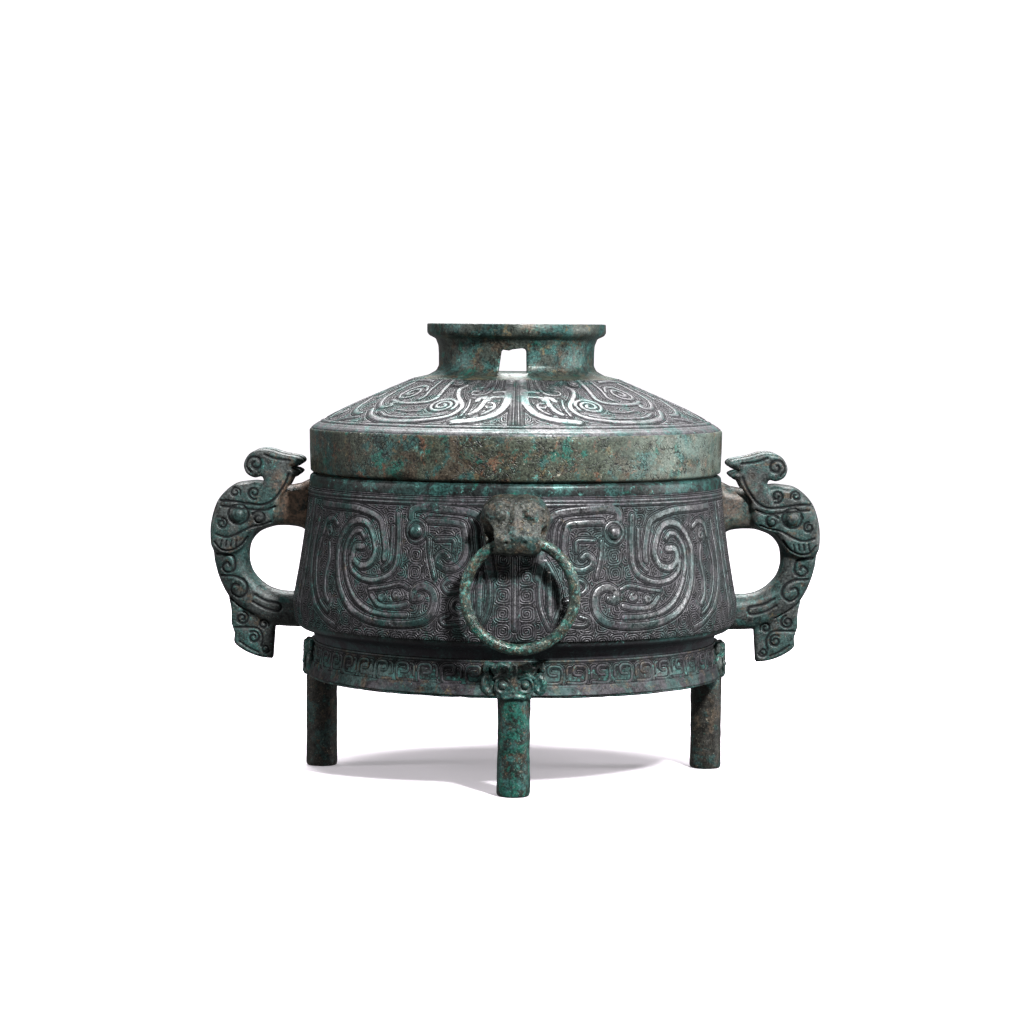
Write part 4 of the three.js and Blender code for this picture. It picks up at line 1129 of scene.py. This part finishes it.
def dome_fields(step):
    low, high = DOME_PANEL
    degrees = np.linspace(0, 90, int(78 * math.pi / 2 / step))
    radii = np.linspace(high, low, int((high - low) / step))
    flat = np.stack(np.meshgrid(degrees, radii), axis=-1).reshape(-1, 2)
    plane = on_disc(flat)
    edge = band_edge(plane, dome_strokes(), on_disc)
    smooth_rim = flat[:, 1] > 98.2
    edge = np.where(smooth_rim, np.minimum(edge, -0.1), edge)
    eye = np.linalg.norm(plane - on_disc([(29.2, 56.4)]), axis=1)
    edge = np.where(eye < 4.4, np.maximum(2.9 - eye, eye - 2.9), edge)
    lift = 0.5 * smoothstep(0.25, -0.25, edge)
    lift += np.where(eye < 2.9, 1.7 * np.sqrt(np.clip(1 - (eye / 2.9) ** 2, 0, 1)), 0)
    cells = np.stack([wrapped(np.radians(flat[:, 0]) * 76, 7, 3.4), wrapped(flat[:, 1], 7, 55), 0 * lift],
        axis=1)
    shape = (len(radii), len(degrees))
    return degrees, radii, lift.reshape(shape), edge.reshape(shape), cells.reshape(*shape, 3)


# Beast handles

def handle_outlines():
    """Outlines of the right handle in (distance from the axis, height)."""
    outer = curve([
        (122, 141.4), (128, 142.6), (134.4, 142.2), (139.7, 141), (145.1, 136.8), (148.9, 131.5),
            (151.2, 123.8),
        (151.8, 116.9), (150.8, 107), (150.1, 101.6), (148.2, 94.7), (145.1, 87.8), (141, 82.2),
            (135, 77.2),
        (127, 72.6), (119.8, 70.4), (108, 69.8), (100, 69.8),
    ])
    loop = np.vstack([[(98, 145.6), (103, 144), (107, 142), (112, 141)], outer])
    hole = np.vstack([[(98, 87.6), (98, 117)], curve([
        (104.5, 118.2), (107.6, 119.8), (113.7, 120.6), (120.6, 120.3), (126, 118.4), (129.8, 115.4),
            (132.1, 111.6),
        (132.9, 106.2), (132.5, 101.6), (130.6, 97), (126.7, 92.6), (122.1, 89.6), (116.8, 88), (111, 87.6),
            (104, 87.6),
    ])])
    beast = closed_curve([
        (118.6, 133), (123.5, 140.6), (128, 142.6), (134.4, 142.2), (139.7, 141), (145.1, 136.8),
            (148.9, 131.5),
        (151.2, 123.8), (151.8, 116.9), (151, 110), (147, 107), (142.8, 106.4), (136.7, 109),
            (132.6, 114.2),
        (128.6, 118.8), (121.4, 121.4), (117.6, 126),
    ])
    horn = closed_curve([
        (118.4, 130.5), (116.8, 135.4), (112.6, 141), (110.6, 144.6), (107.8, 146), (106.2, 148),
            (108.4, 149.4),
        (110.8, 149.9), (106.6, 151.4), (105.2, 153.4), (107.4, 155.4), (113.7, 156.6), (117.5, 157.5),
            (122, 158.9),
        (127.5, 159), (132.4, 156.6), (135, 151.6), (133.6, 147), (129.6, 144.9), (126, 145.4),
            (125.2, 142.4), (127.2, 138), (130, 131),
    ], 0.6)
    pendant = np.vstack([curve([(143, 84), (141.9, 78), (141.9, 71.7)]),
        curve([(140.2, 66.4), (140.1, 61.4), (134.4, 57.2), (127.5, 54.6), (121, 53.8)]),
            [(119.8, 72), (126, 80)]])
    return loop, hole, beast, horn, pendant


def handle_grooves():
    """Cut lines on the handle's flanks, as half widths and lines of (distance from the axis, height)."""
    teeth = [[(x, 113.6), (x + 0.5, 110.4)] for x in (138.4, 140.9, 143.4, 145.9)]
    return [
        (0.75, [(147, 133.4), (141, 133.2), (133, 132), (125.4, 131.6), (119.6, 134.6), (114.8, 141.6),
            (112.6, 147)]),
        (0.55, [(146, 130.6), (139, 130), (131, 129), (124.4, 128.8), (119.6, 130.6)]),
        (0.75, [(149.4, 112.6), (146, 109), (141.6, 108.6), (136.7, 111), (133.2, 115.4)]),
        (0.6, [(148.6, 116.6), (143.6, 115.2), (138.4, 116.8), (132.6, 119.8), (126, 121.4), (121.6, 123)]),
        *[(0.45, tooth) for tooth in teeth],
        (0.6, coil((137.6, 126.6), 5.0, 4.9, 0, 1)),
        (0.6, coil((127.4, 124.8), 3.7, 1.1, 30, 1.3)),
        (0.6, coil((129.8, 137.4), 3.3, 0.9, 250, 1.3)),
        (0.6, coil((139.2, 137.6), 2.7, 0.9, 200, -1.3)),
        (0.6, coil((145.8, 122), 2.7, 0.9, 90, 1.3)),
        (0.7, coil((129.2, 151.8), 4.7, 1.0, 300, 1.35)),
        (0.5, [(124.8, 156.6), (119.6, 154.6), (112, 153.6)]),
        (0.75, [(148.4, 106.4), (141, 105.6), (139.6, 99.4), (143.6, 97.2), (146, 100), (143.6, 102.4),
            (142.2, 100.8)]),
        (0.75, [(146.4, 95.6), (139.4, 95.4), (134.4, 92.4), (133.6, 87.8), (137.4, 84.8), (141.4, 87.6),
            (140.4, 91.4), (137.6, 90.8)]),
        (0.55, [(150.2, 101), (147.6, 93), (143.4, 86), (138, 80.6), (130, 76)]),
        (0.65, [(130.6, 82.6), (124.6, 79.4), (117.6, 78.2), (117, 81.6), (124, 83.2), (129.6, 86.2)]),
        (0.7, coil((136.4, 74), 3.4, 0.9, 100, 1.4)),
        (0.6, coil((125.6, 71), 2.8, 0.9, 200, -1.3)),
        (0.7, coil((130.6, 64.4), 3.2, 0.9, 60, 1.3)),
        (0.6, [(140, 69.4), (134, 69.6), (128.4, 68.8), (126, 64.6), (126.8, 60)]),
        (0.6, coil((124.4, 58.8), 2.2, 0.8, 200, 1.2)),
        (0.5, [(137.6, 62.4), (132.6, 59), (128, 57)]),
    ]


def make_handles(material):
    step = HANDLE_STEP
    loop, hole, beast, horn, pendant = handle_outlines()
    low = (100.4, -BEAST_HALF_DEPTH - 2.6, 51)
    (x, y, z), origin = voxels(low, (HANDLE_REACH + 1.4, BEAST_HALF_DEPTH + 2.6, HANDLE_TOP + 1.6), step)
    plane = np.stack([x[:, 0].ravel(), z[:, 0].ravel()], axis=1)
    flat_shape = x[:, 0].shape
    across = np.abs(y)

    def flat(outline):
        return inside_distance(plane, outline).reshape(flat_shape)[:, None, :]

    ring_flat = np.maximum(flat(loop), -flat(hole))
    body = slab(ring_flat, across, LOOP_HALF_DEPTH, 7)
    body = blend(body, slab(flat(beast), across, BEAST_HALF_DEPTH - 0.3, 3.6), 2.2)
    body = blend(body, slab(flat(pendant), across, PENDANT_HALF_DEPTH, 1.6), 1.4)
    plates = slab(flat(horn), np.abs(across - HORN_OFFSET), HORN_HALF_DEPTH, 2.4)
    body = blend(body, plates, 1.4)
    eye = ball((x, across, z), (137.6, BEAST_HALF_DEPTH - 0.6, 126.6), (3.7, 2.9, 3.7))
    nostril = ball((x, across, z), (127.4, BEAST_HALF_DEPTH - 0.8, 124.8), (2.1, 2.2, 2.1))
    groove = np.zeros(len(plane))
    for half, line in handle_grooves():
        away = distance_to_line(plane, curve(line, 0.6), 3)
        groove = np.maximum(groove, smoothstep(0.6 * half + 0.45, 0.6 * half - 0.35, away))
    groove = groove.reshape(flat_shape)[:, None, :]
    facing = smoothstep(1.6, 3.6, across)
    body = body + 0.9 * groove * facing
    body = blend(body, np.minimum(eye, nostril), 0.4)
    root = belly_radius(z) - WALL / 2 - 3 * smoothstep(73, 71, z)
    body = np.maximum(body, root - np.hypot(x, y))
    points, faces = thinned(*surface_net(body, origin, step))
    line_at = np.full(len(points), 3.0)
    for half, line in handle_grooves():
        line_at = np.minimum(line_at, distance_to_line(points[:, [0, 2]], curve(line, 0.6), 3) - 0.6 * half)
    # Dark grooves and hollows of the handle: dirt and painted shade
    carve = smoothstep(0.3, -0.15, line_at) * smoothstep(1.6, 3.6, np.abs(points[:, 1]))
    carve = np.maximum(carve, hollows(body, points, origin, step))
    arm = smoothstep(121, 113, points[:, 0]) * smoothstep(112, 118, points[:, 2]) * smoothstep(147, 142,
        points[:, 2])
    for side, name in ((1, "handle_right"), (-1, "handle_left")):
        moved = points * np.array([side, 1, 1])
        moved = moved + 0.13 * crust(moved, 31, (4, 1.6))[:, None] * np.array([0, 1, 0])
        quads = faces if side > 0 else faces[:, ::-1]
        add_piece(name, moved, quads, material, "vessel", "body_bronze", (), carve=carve, arm=arm)


# Ring heads, masks, legs and rings

def ring_room(x, out, z):
    """Field of the room that a ring's bar sweeps, from hanging down to lying above its pivot."""
    off = (x - RING_SHIFT) ** 2
    far = RING_RADIUS - np.sqrt((RING_RADIUS - RING_BAR_RADIUS) ** 2 - off)
    near = RING_RADIUS - np.sqrt((RING_RADIUS + RING_BAR_RADIUS) ** 2 - off)
    swing = (far + near) / 2
    ahead = out - RING_STAND_OFF
    above = z - RING_PIVOT_HEIGHT
    turned = np.arctan2(ahead, -above)
    back = math.radians(7)
    arc = np.abs(np.hypot(ahead, above) - swing)
    low_end = np.hypot(ahead + swing * math.sin(back), above + swing * math.cos(back))
    high_end = np.hypot(ahead, above - swing)
    away = np.where(turned > -back, arc, np.minimum(low_end, high_end))
    return away - (far - near) / 2 - RING_CLEARANCE


def strand(place, points, radius):
    """The field of a round strand through the points."""
    return np.minimum.reduce([rod(place, a, b, radius) for a, b in zip(points, points[1:])])


def hollows(field, points, origin, step, reach=2):
    """How far each point of a surface lies in a hollow, from 0 to 1, judged from the field around it; it
    darkens the hollows as dirt and painted shade.
    """
    around_it = sum(np.roll(field, shift, axis) for axis in range(3) for shift in (-reach, reach)) / 6
    index = np.round((points - origin) / step).astype(int)
    index = np.clip(index, reach, np.array(field.shape) - 1 - reach)
    return smoothstep(-0.06, -0.5, ((around_it - field) / step)[tuple(index.T)])


def head_body(place):
    """Field of the small animal head; out is the distance from the vessel's axis."""
    x, out, z = place
    side = np.abs(x)
    mirrored = (side, out, z)
    top = RIM - 5
    skull = ball(place, (0, 110.5, top - 12.6), (15.7, 12, 13))
    lobe = ball(mirrored, (7.2, 111.4, top - 9.4), (8, 11, 9.2))
    root = brick(place, (0, 105, top - 13), (12, 6, 11), 4)
    muzzle = brick(place, (0, 116.2, top - 20.2), (13.6, 8.6, 7), 5.6)
    body = blend(blend(blend(lobe, skull, 3), root, 3), muzzle, 3)
    body = blend(body, rod(place, (0, 119.4, top - 5), (0, 124.1, top - 19), 1.9), 1.4)
    curl = [
        (3.2, 119.9, top - 4.4), (8, 118.9, top - 3.2), (12.4, 117.9, top - 5.8), (13.4, 117.2, top - 10.4),
        (9.4, 120.5, top - 13.4),
    ]
    body = blend(body, strand(mirrored, curl, 1.25), 0.5)
    body = blend(body, ball(mirrored, (6.8, 122, top - 8.6), (2.6, 1.5, 2.6)), 0.4)
    brow = [(1.8, 123, top - 14), (6.4, 122.4, top - 15), (12.6, 117.6, top - 15.4)]
    body = blend(body, strand(mirrored, brow, 0.9), 0.9)
    body = blend(body, ball(mirrored, (5.2, 123.7, top - 20), (3.4, 2.0, 2.4)), 1.2)
    nostril = ball(mirrored, (4.2, 126, top - 21.4), (1.3, 1.6, 1.1))
    mouth = brick(place, (0, 126, top - 25.6), (9.4, 2.4, 0.5), 0.4)
    body = -blend(-body, nostril, 0.6)
    return -blend(-body, mouth, 0.6)


def make_ring_heads(material):
    low = (-17, 99.4, RIM - 5 - 29)
    place, origin = voxels(low, (17, HEAD_FRONT + 1.4, RIM - 3), HEAD_STEP)
    cloud = np.stack(place, axis=-1)
    body = head_body(place) + 0.45 * crust(cloud, 61, (2.6, 1.1), (0.5, 0.5))
    body = np.maximum(body, -ring_room(*place))
    x, out, z = place
    body = np.maximum(body, belly_radius(z) - WALL / 2 - np.hypot(x, out))
    points, faces = thinned(*surface_net(body, origin, HEAD_STEP))
    points[:, 1] = np.minimum(points[:, 1], HEAD_FRONT)
    # Dark hollows of the head: dirt and painted shade
    carve = 0.85 * hollows(body, points, origin, HEAD_STEP)
    for name, side in (("ring_head_front", -1), ("ring_head_back", 1)):
        moved = points * np.array([1, side, 1])
        quads = faces if side > 0 else faces[:, ::-1]
        add_piece(name, moved, quads, material, "vessel", "body_bronze", (), carve=carve)


def mask_body(place):
    """Field of the mask over a leg; out is the distance from the vessel's axis."""
    x, out, z = place
    side = np.abs(x)
    mirrored = (side, out, z)
    base = FOOT_BOTTOM
    face = brick(place, (0, 101.2, base + 8.4), (8.8, 3.2, 9), 2.6)
    body = blend(face, ball(place, (0, 101.6, base + 4), (8.2, 3.8, 5)), 1.4)
    body = blend(body, rod(place, (0, 104.4, base + 1.6), (0, 104.2, base + 15.5), 1.8), 0.6)
    body = blend(body, rod(mirrored, (0.8, 105, base + 1.4), (4.2, 104.2, base + 0.8), 1.2), 0.6)
    socket = ball(mirrored, (5.3, 106.2, base + 6.6), (3.3, 2.2, 3.3))
    body = -blend(-body, socket, 0.3)
    body = blend(body, ball(mirrored, (5.3, 104.2, base + 6.6), (2.0, 2.0, 2.0)), 0.15)
    body = blend(body, hoop(mirrored, (5.3, 104.6, base + 6.6), 3.5, 0.55), 0.2)
    brow = [(2.4, 105, base + 11), (5.6, 104.9, base + 12), (9, 103.6, base + 10)]
    body = blend(body, strand(mirrored, brow, 0.85), 0.7)
    curl = [
        (2.2, 103.9, base + 12.6), (3.4, 103.9, base + 15.4), (6.2, 103.8, base + 16.4),
            (8.2, 103.6, base + 14.6),
        (6.6, 103.9, base + 13.2), (5.4, 103.9, base + 14.2),
    ]
    body = blend(body, strand(mirrored, curl, 1.2), 1.0)
    horn = [(8.6, 102, base + 12.6), (10.2, 101.8, base + 15.6), (12.8, 101.2, base + 16.2),
        (13.2, 101, base + 13.6)]
    body = blend(body, strand(mirrored, horn, 1.5), 1.2)
    ear = ball(mirrored, (12, 101.2, base + 6.6), (3.6, 2.8, 5.6))
    dent = ball(mirrored, (11.9, 104.4, base + 6.6), (1.8, 1.8, 3.6))
    return blend(body, -blend(-ear, dent, 0.4), 0.5)


def make_masks(material):
    low = (-16.4, 97, FOOT_BOTTOM - 2)
    place, origin = voxels(low, (16.4, 107.8, FOOT_BOTTOM + 20), MASK_STEP)
    cloud = np.stack(place, axis=-1)
    body = mask_body(place) + 0.1 * crust(cloud, 71, (3, 1.3))
    points, faces = thinned(*surface_net(body, origin, MASK_STEP))
    # Dark hollows of the mask: dirt and painted shade
    carve = 0.6 * hollows(body, points, origin, MASK_STEP)
    turns = {"front": (0, -1), "back": (0, 1), "right": (1, 0), "left": (-1, 0)}
    for name, (cx, cy) in turns.items():
        x = points[:, 1] * cx - points[:, 0] * cy
        y = points[:, 1] * cy + points[:, 0] * cx
        moved = np.stack([x, y, points[:, 2]], axis=1)
        add_piece(f"mask_{name}", moved, faces[:, ::-1], material, "vessel", "body_bronze", (), carve=carve)


def make_legs(green, dark):
    top = FOOT_BOTTOM + 4.5
    profile = rounded([(0, 0), (LEG_RADIUS - 0.6, 0), (LEG_RADIUS, 1.4), (LEG_RADIUS - 0.3, 20),
        (LEG_RADIUS, top), (0, top)], 0.8)
    for i, name in enumerate(("front", "right", "back", "left")):
        points, faces = revolve(refined(profile, 1.4), 44, 0.28, 81 + i)
        turn = math.radians(90 * i - 90)
        points = points + LEG_CENTRE_RADIUS * np.array([math.cos(turn), math.sin(turn), 0])
        points[:, 2] = np.maximum(points[:, 2], 0)
        material = green if name in ("front", "back") else dark
        add_piece(f"leg_{name}", points, faces, material, "vessel", "body_bronze")


def make_rings(material):
    around_count, bar_count = 200, 22
    turn, bar = np.meshgrid(np.arange(around_count) * 2 * math.pi / around_count,
        np.arange(bar_count) * 2 * math.pi / bar_count)
    for name, side in (("front", -1), ("back", 1)):
        centre = np.stack([RING_RADIUS * np.cos(turn), 0 * turn, RING_RADIUS * np.sin(turn)], axis=-1)
        outward = np.stack([np.cos(bar) * np.cos(turn), np.sin(bar), np.cos(bar) * np.sin(turn)], axis=-1)
        rough = 0.26 * crust((centre + 3 * outward).reshape(-1, 3), 91 + side, (4, 1.5)).reshape(turn.shape)
        bar_skin = (RING_BAR_RADIUS - 0.1 + rough)[..., None] * outward
        bar_skin[..., 1] *= np.where(side * bar_skin[..., 1] < 0, 0.68, 1)
        points = centre + bar_skin
        points = points + np.array([RING_SHIFT, side * RING_STAND_OFF, RING_MIDDLE_HEIGHT])
        index = np.arange(turn.size).reshape(turn.shape)
        index = np.vstack([np.hstack([index, index[:, :1]]), np.hstack([index[:1], index[:1, :1]])])
        faces = np.stack([index[:-1, :-1], index[1:, :-1], index[1:, 1:], index[:-1, 1:]],
            axis=-1).reshape(-1, 4)
        node = f"ring_{name}"
        add_piece(f"loose_ring_{name}", points.reshape(-1, 3), faces, material, node, "ring_bronze",
            (node,))


# Studio

def area_light(name, place, aim, size, watts, colour=(1, 1, 1)):
    data = bpy.data.lights.new(name, "AREA")
    data.shape = "RECTANGLE"
    data.size, data.size_y = size
    data.energy = watts
    data.color = colour
    light = bpy.data.objects.new(name, data)
    light.location = place
    light.rotation_euler = (Vector(aim) - Vector(place)).to_track_quat("-Z", "Y").to_euler()
    bpy.context.scene.collection.objects.link(light)


def make_studio():
    """A white paper sweep that glows faintly away from the vessel, and the studio's lights."""
    bend = [(8 + 1.5 * math.sin(a), 1.5 - 1.5 * math.cos(a)) for a in np.linspace(0.2, 1.57, 8)]
    reach, height = np.array([(0.0, 0.0), (8.0, 0.0), *bend, (9.5, 3.2)]).T[..., None]
    turn = np.arange(64) * 2 * math.pi / 64
    points = np.stack([reach * np.cos(turn), reach * np.sin(turn), height + 0 * turn], axis=-1).reshape(-1,
        3)
    faces = grid_faces(len(reach), len(turn), wrap=True)
    mesh = bpy.data.meshes.new("paper_sweep")
    mesh.from_pydata(points.tolist(), [], faces.tolist())
    floor = bpy.data.objects.new("paper_sweep", mesh)
    bpy.context.scene.collection.objects.link(floor)
    shader = Shader("white_paper")
    away = shader.tree.nodes.new("ShaderNodeVectorMath")
    away.operation = "LENGTH"
    shader.link(shader.place, away.inputs[0])
    surface = shader.surface
    surface.inputs["Base Color"].default_value = (0.85, 0.785, 0.85, 1)
    surface.inputs["Roughness"].default_value = 0.7
    surface.inputs["Specular IOR Level"].default_value = 0.2
    surface.inputs["Emission Color"].default_value = (1, 0.96, 1, 1)
    glow = shader.plus(shader.rise(away.outputs["Value"], 250, 900, 0.68), 0.32)
    shader.link(glow, surface.inputs["Emission Strength"])
    shader.material.cycles.emission_sampling = "NONE"
    mesh.materials.append(shader.material)
    floor.visible_diffuse = False
    floor.visible_glossy = False
    world = bpy.data.worlds.new("studio")
    world.use_nodes = True
    world.node_tree.nodes["Background"].inputs["Color"].default_value = (1, 1, 1, 1)
    world.node_tree.nodes["Background"].inputs["Strength"].default_value = 0.17
    bpy.context.scene.world = world
    aim = (0, 0, 0.12)
    area_light("top_softbox", (0.0, 0.75, 1.25), (0, 0, 0.18), (1.0, 0.62), 45)
    area_light("key", (0.4, -0.84, 0.76), aim, (0.1, 0.1), 27)
    area_light("right_strip", (1.2, 0.0, 0.4), aim, (0.3, 0.8), 11)
    area_light("left_strip", (-1.1, -0.2, 0.5), aim, (0.2, 0.6), 4.6)
    bpy.context.scene.view_settings.view_transform = "Standard"


def make_camera():
    data = bpy.data.cameras.new("camera")
    data.lens = LENS
    data.sensor_width = 36
    data.clip_end = 100
    camera = bpy.data.objects.new("camera", data)
    place = Vector((0, -CAMERA_DISTANCE, CAMERA_HEIGHT)) * MM
    turn = (Vector(CAMERA_AIM) * MM - place).to_track_quat("-Z", "Y").to_matrix().to_4x4()
    camera.matrix_world = Matrix.Translation(place) @ turn @ Matrix.Rotation(math.radians(CAMERA_ROLL), 4,
        "Z")
    bpy.context.scene.collection.objects.link(camera)
    bpy.context.scene.camera = camera


def main():
    make_camera()
    make_studio()
    paint = make_materials()
    make_bowl(paint["bowl"])
    quarters("belly", belly_fields, BELLY_STEP, place_on_belly, paint["belly"], "body_bronze", 0.09, 41)
    quarters("foot_band", foot_fields, FOOT_STEP, place_on_foot, paint["foot"], "body_bronze", 0.12, 47)
    make_lid(paint["band"], paint["knob"])
    quarters("dome", dome_fields, DOME_STEP, place_on_dome, paint["dome"], "lid_bronze", 0.08, 53)
    make_handles(paint["handle"])
    make_ring_heads(paint["head"])
    make_masks(paint["mask"])
    make_legs(paint["leg"], paint["dark_leg"])
    make_rings(paint["ring"])


main()
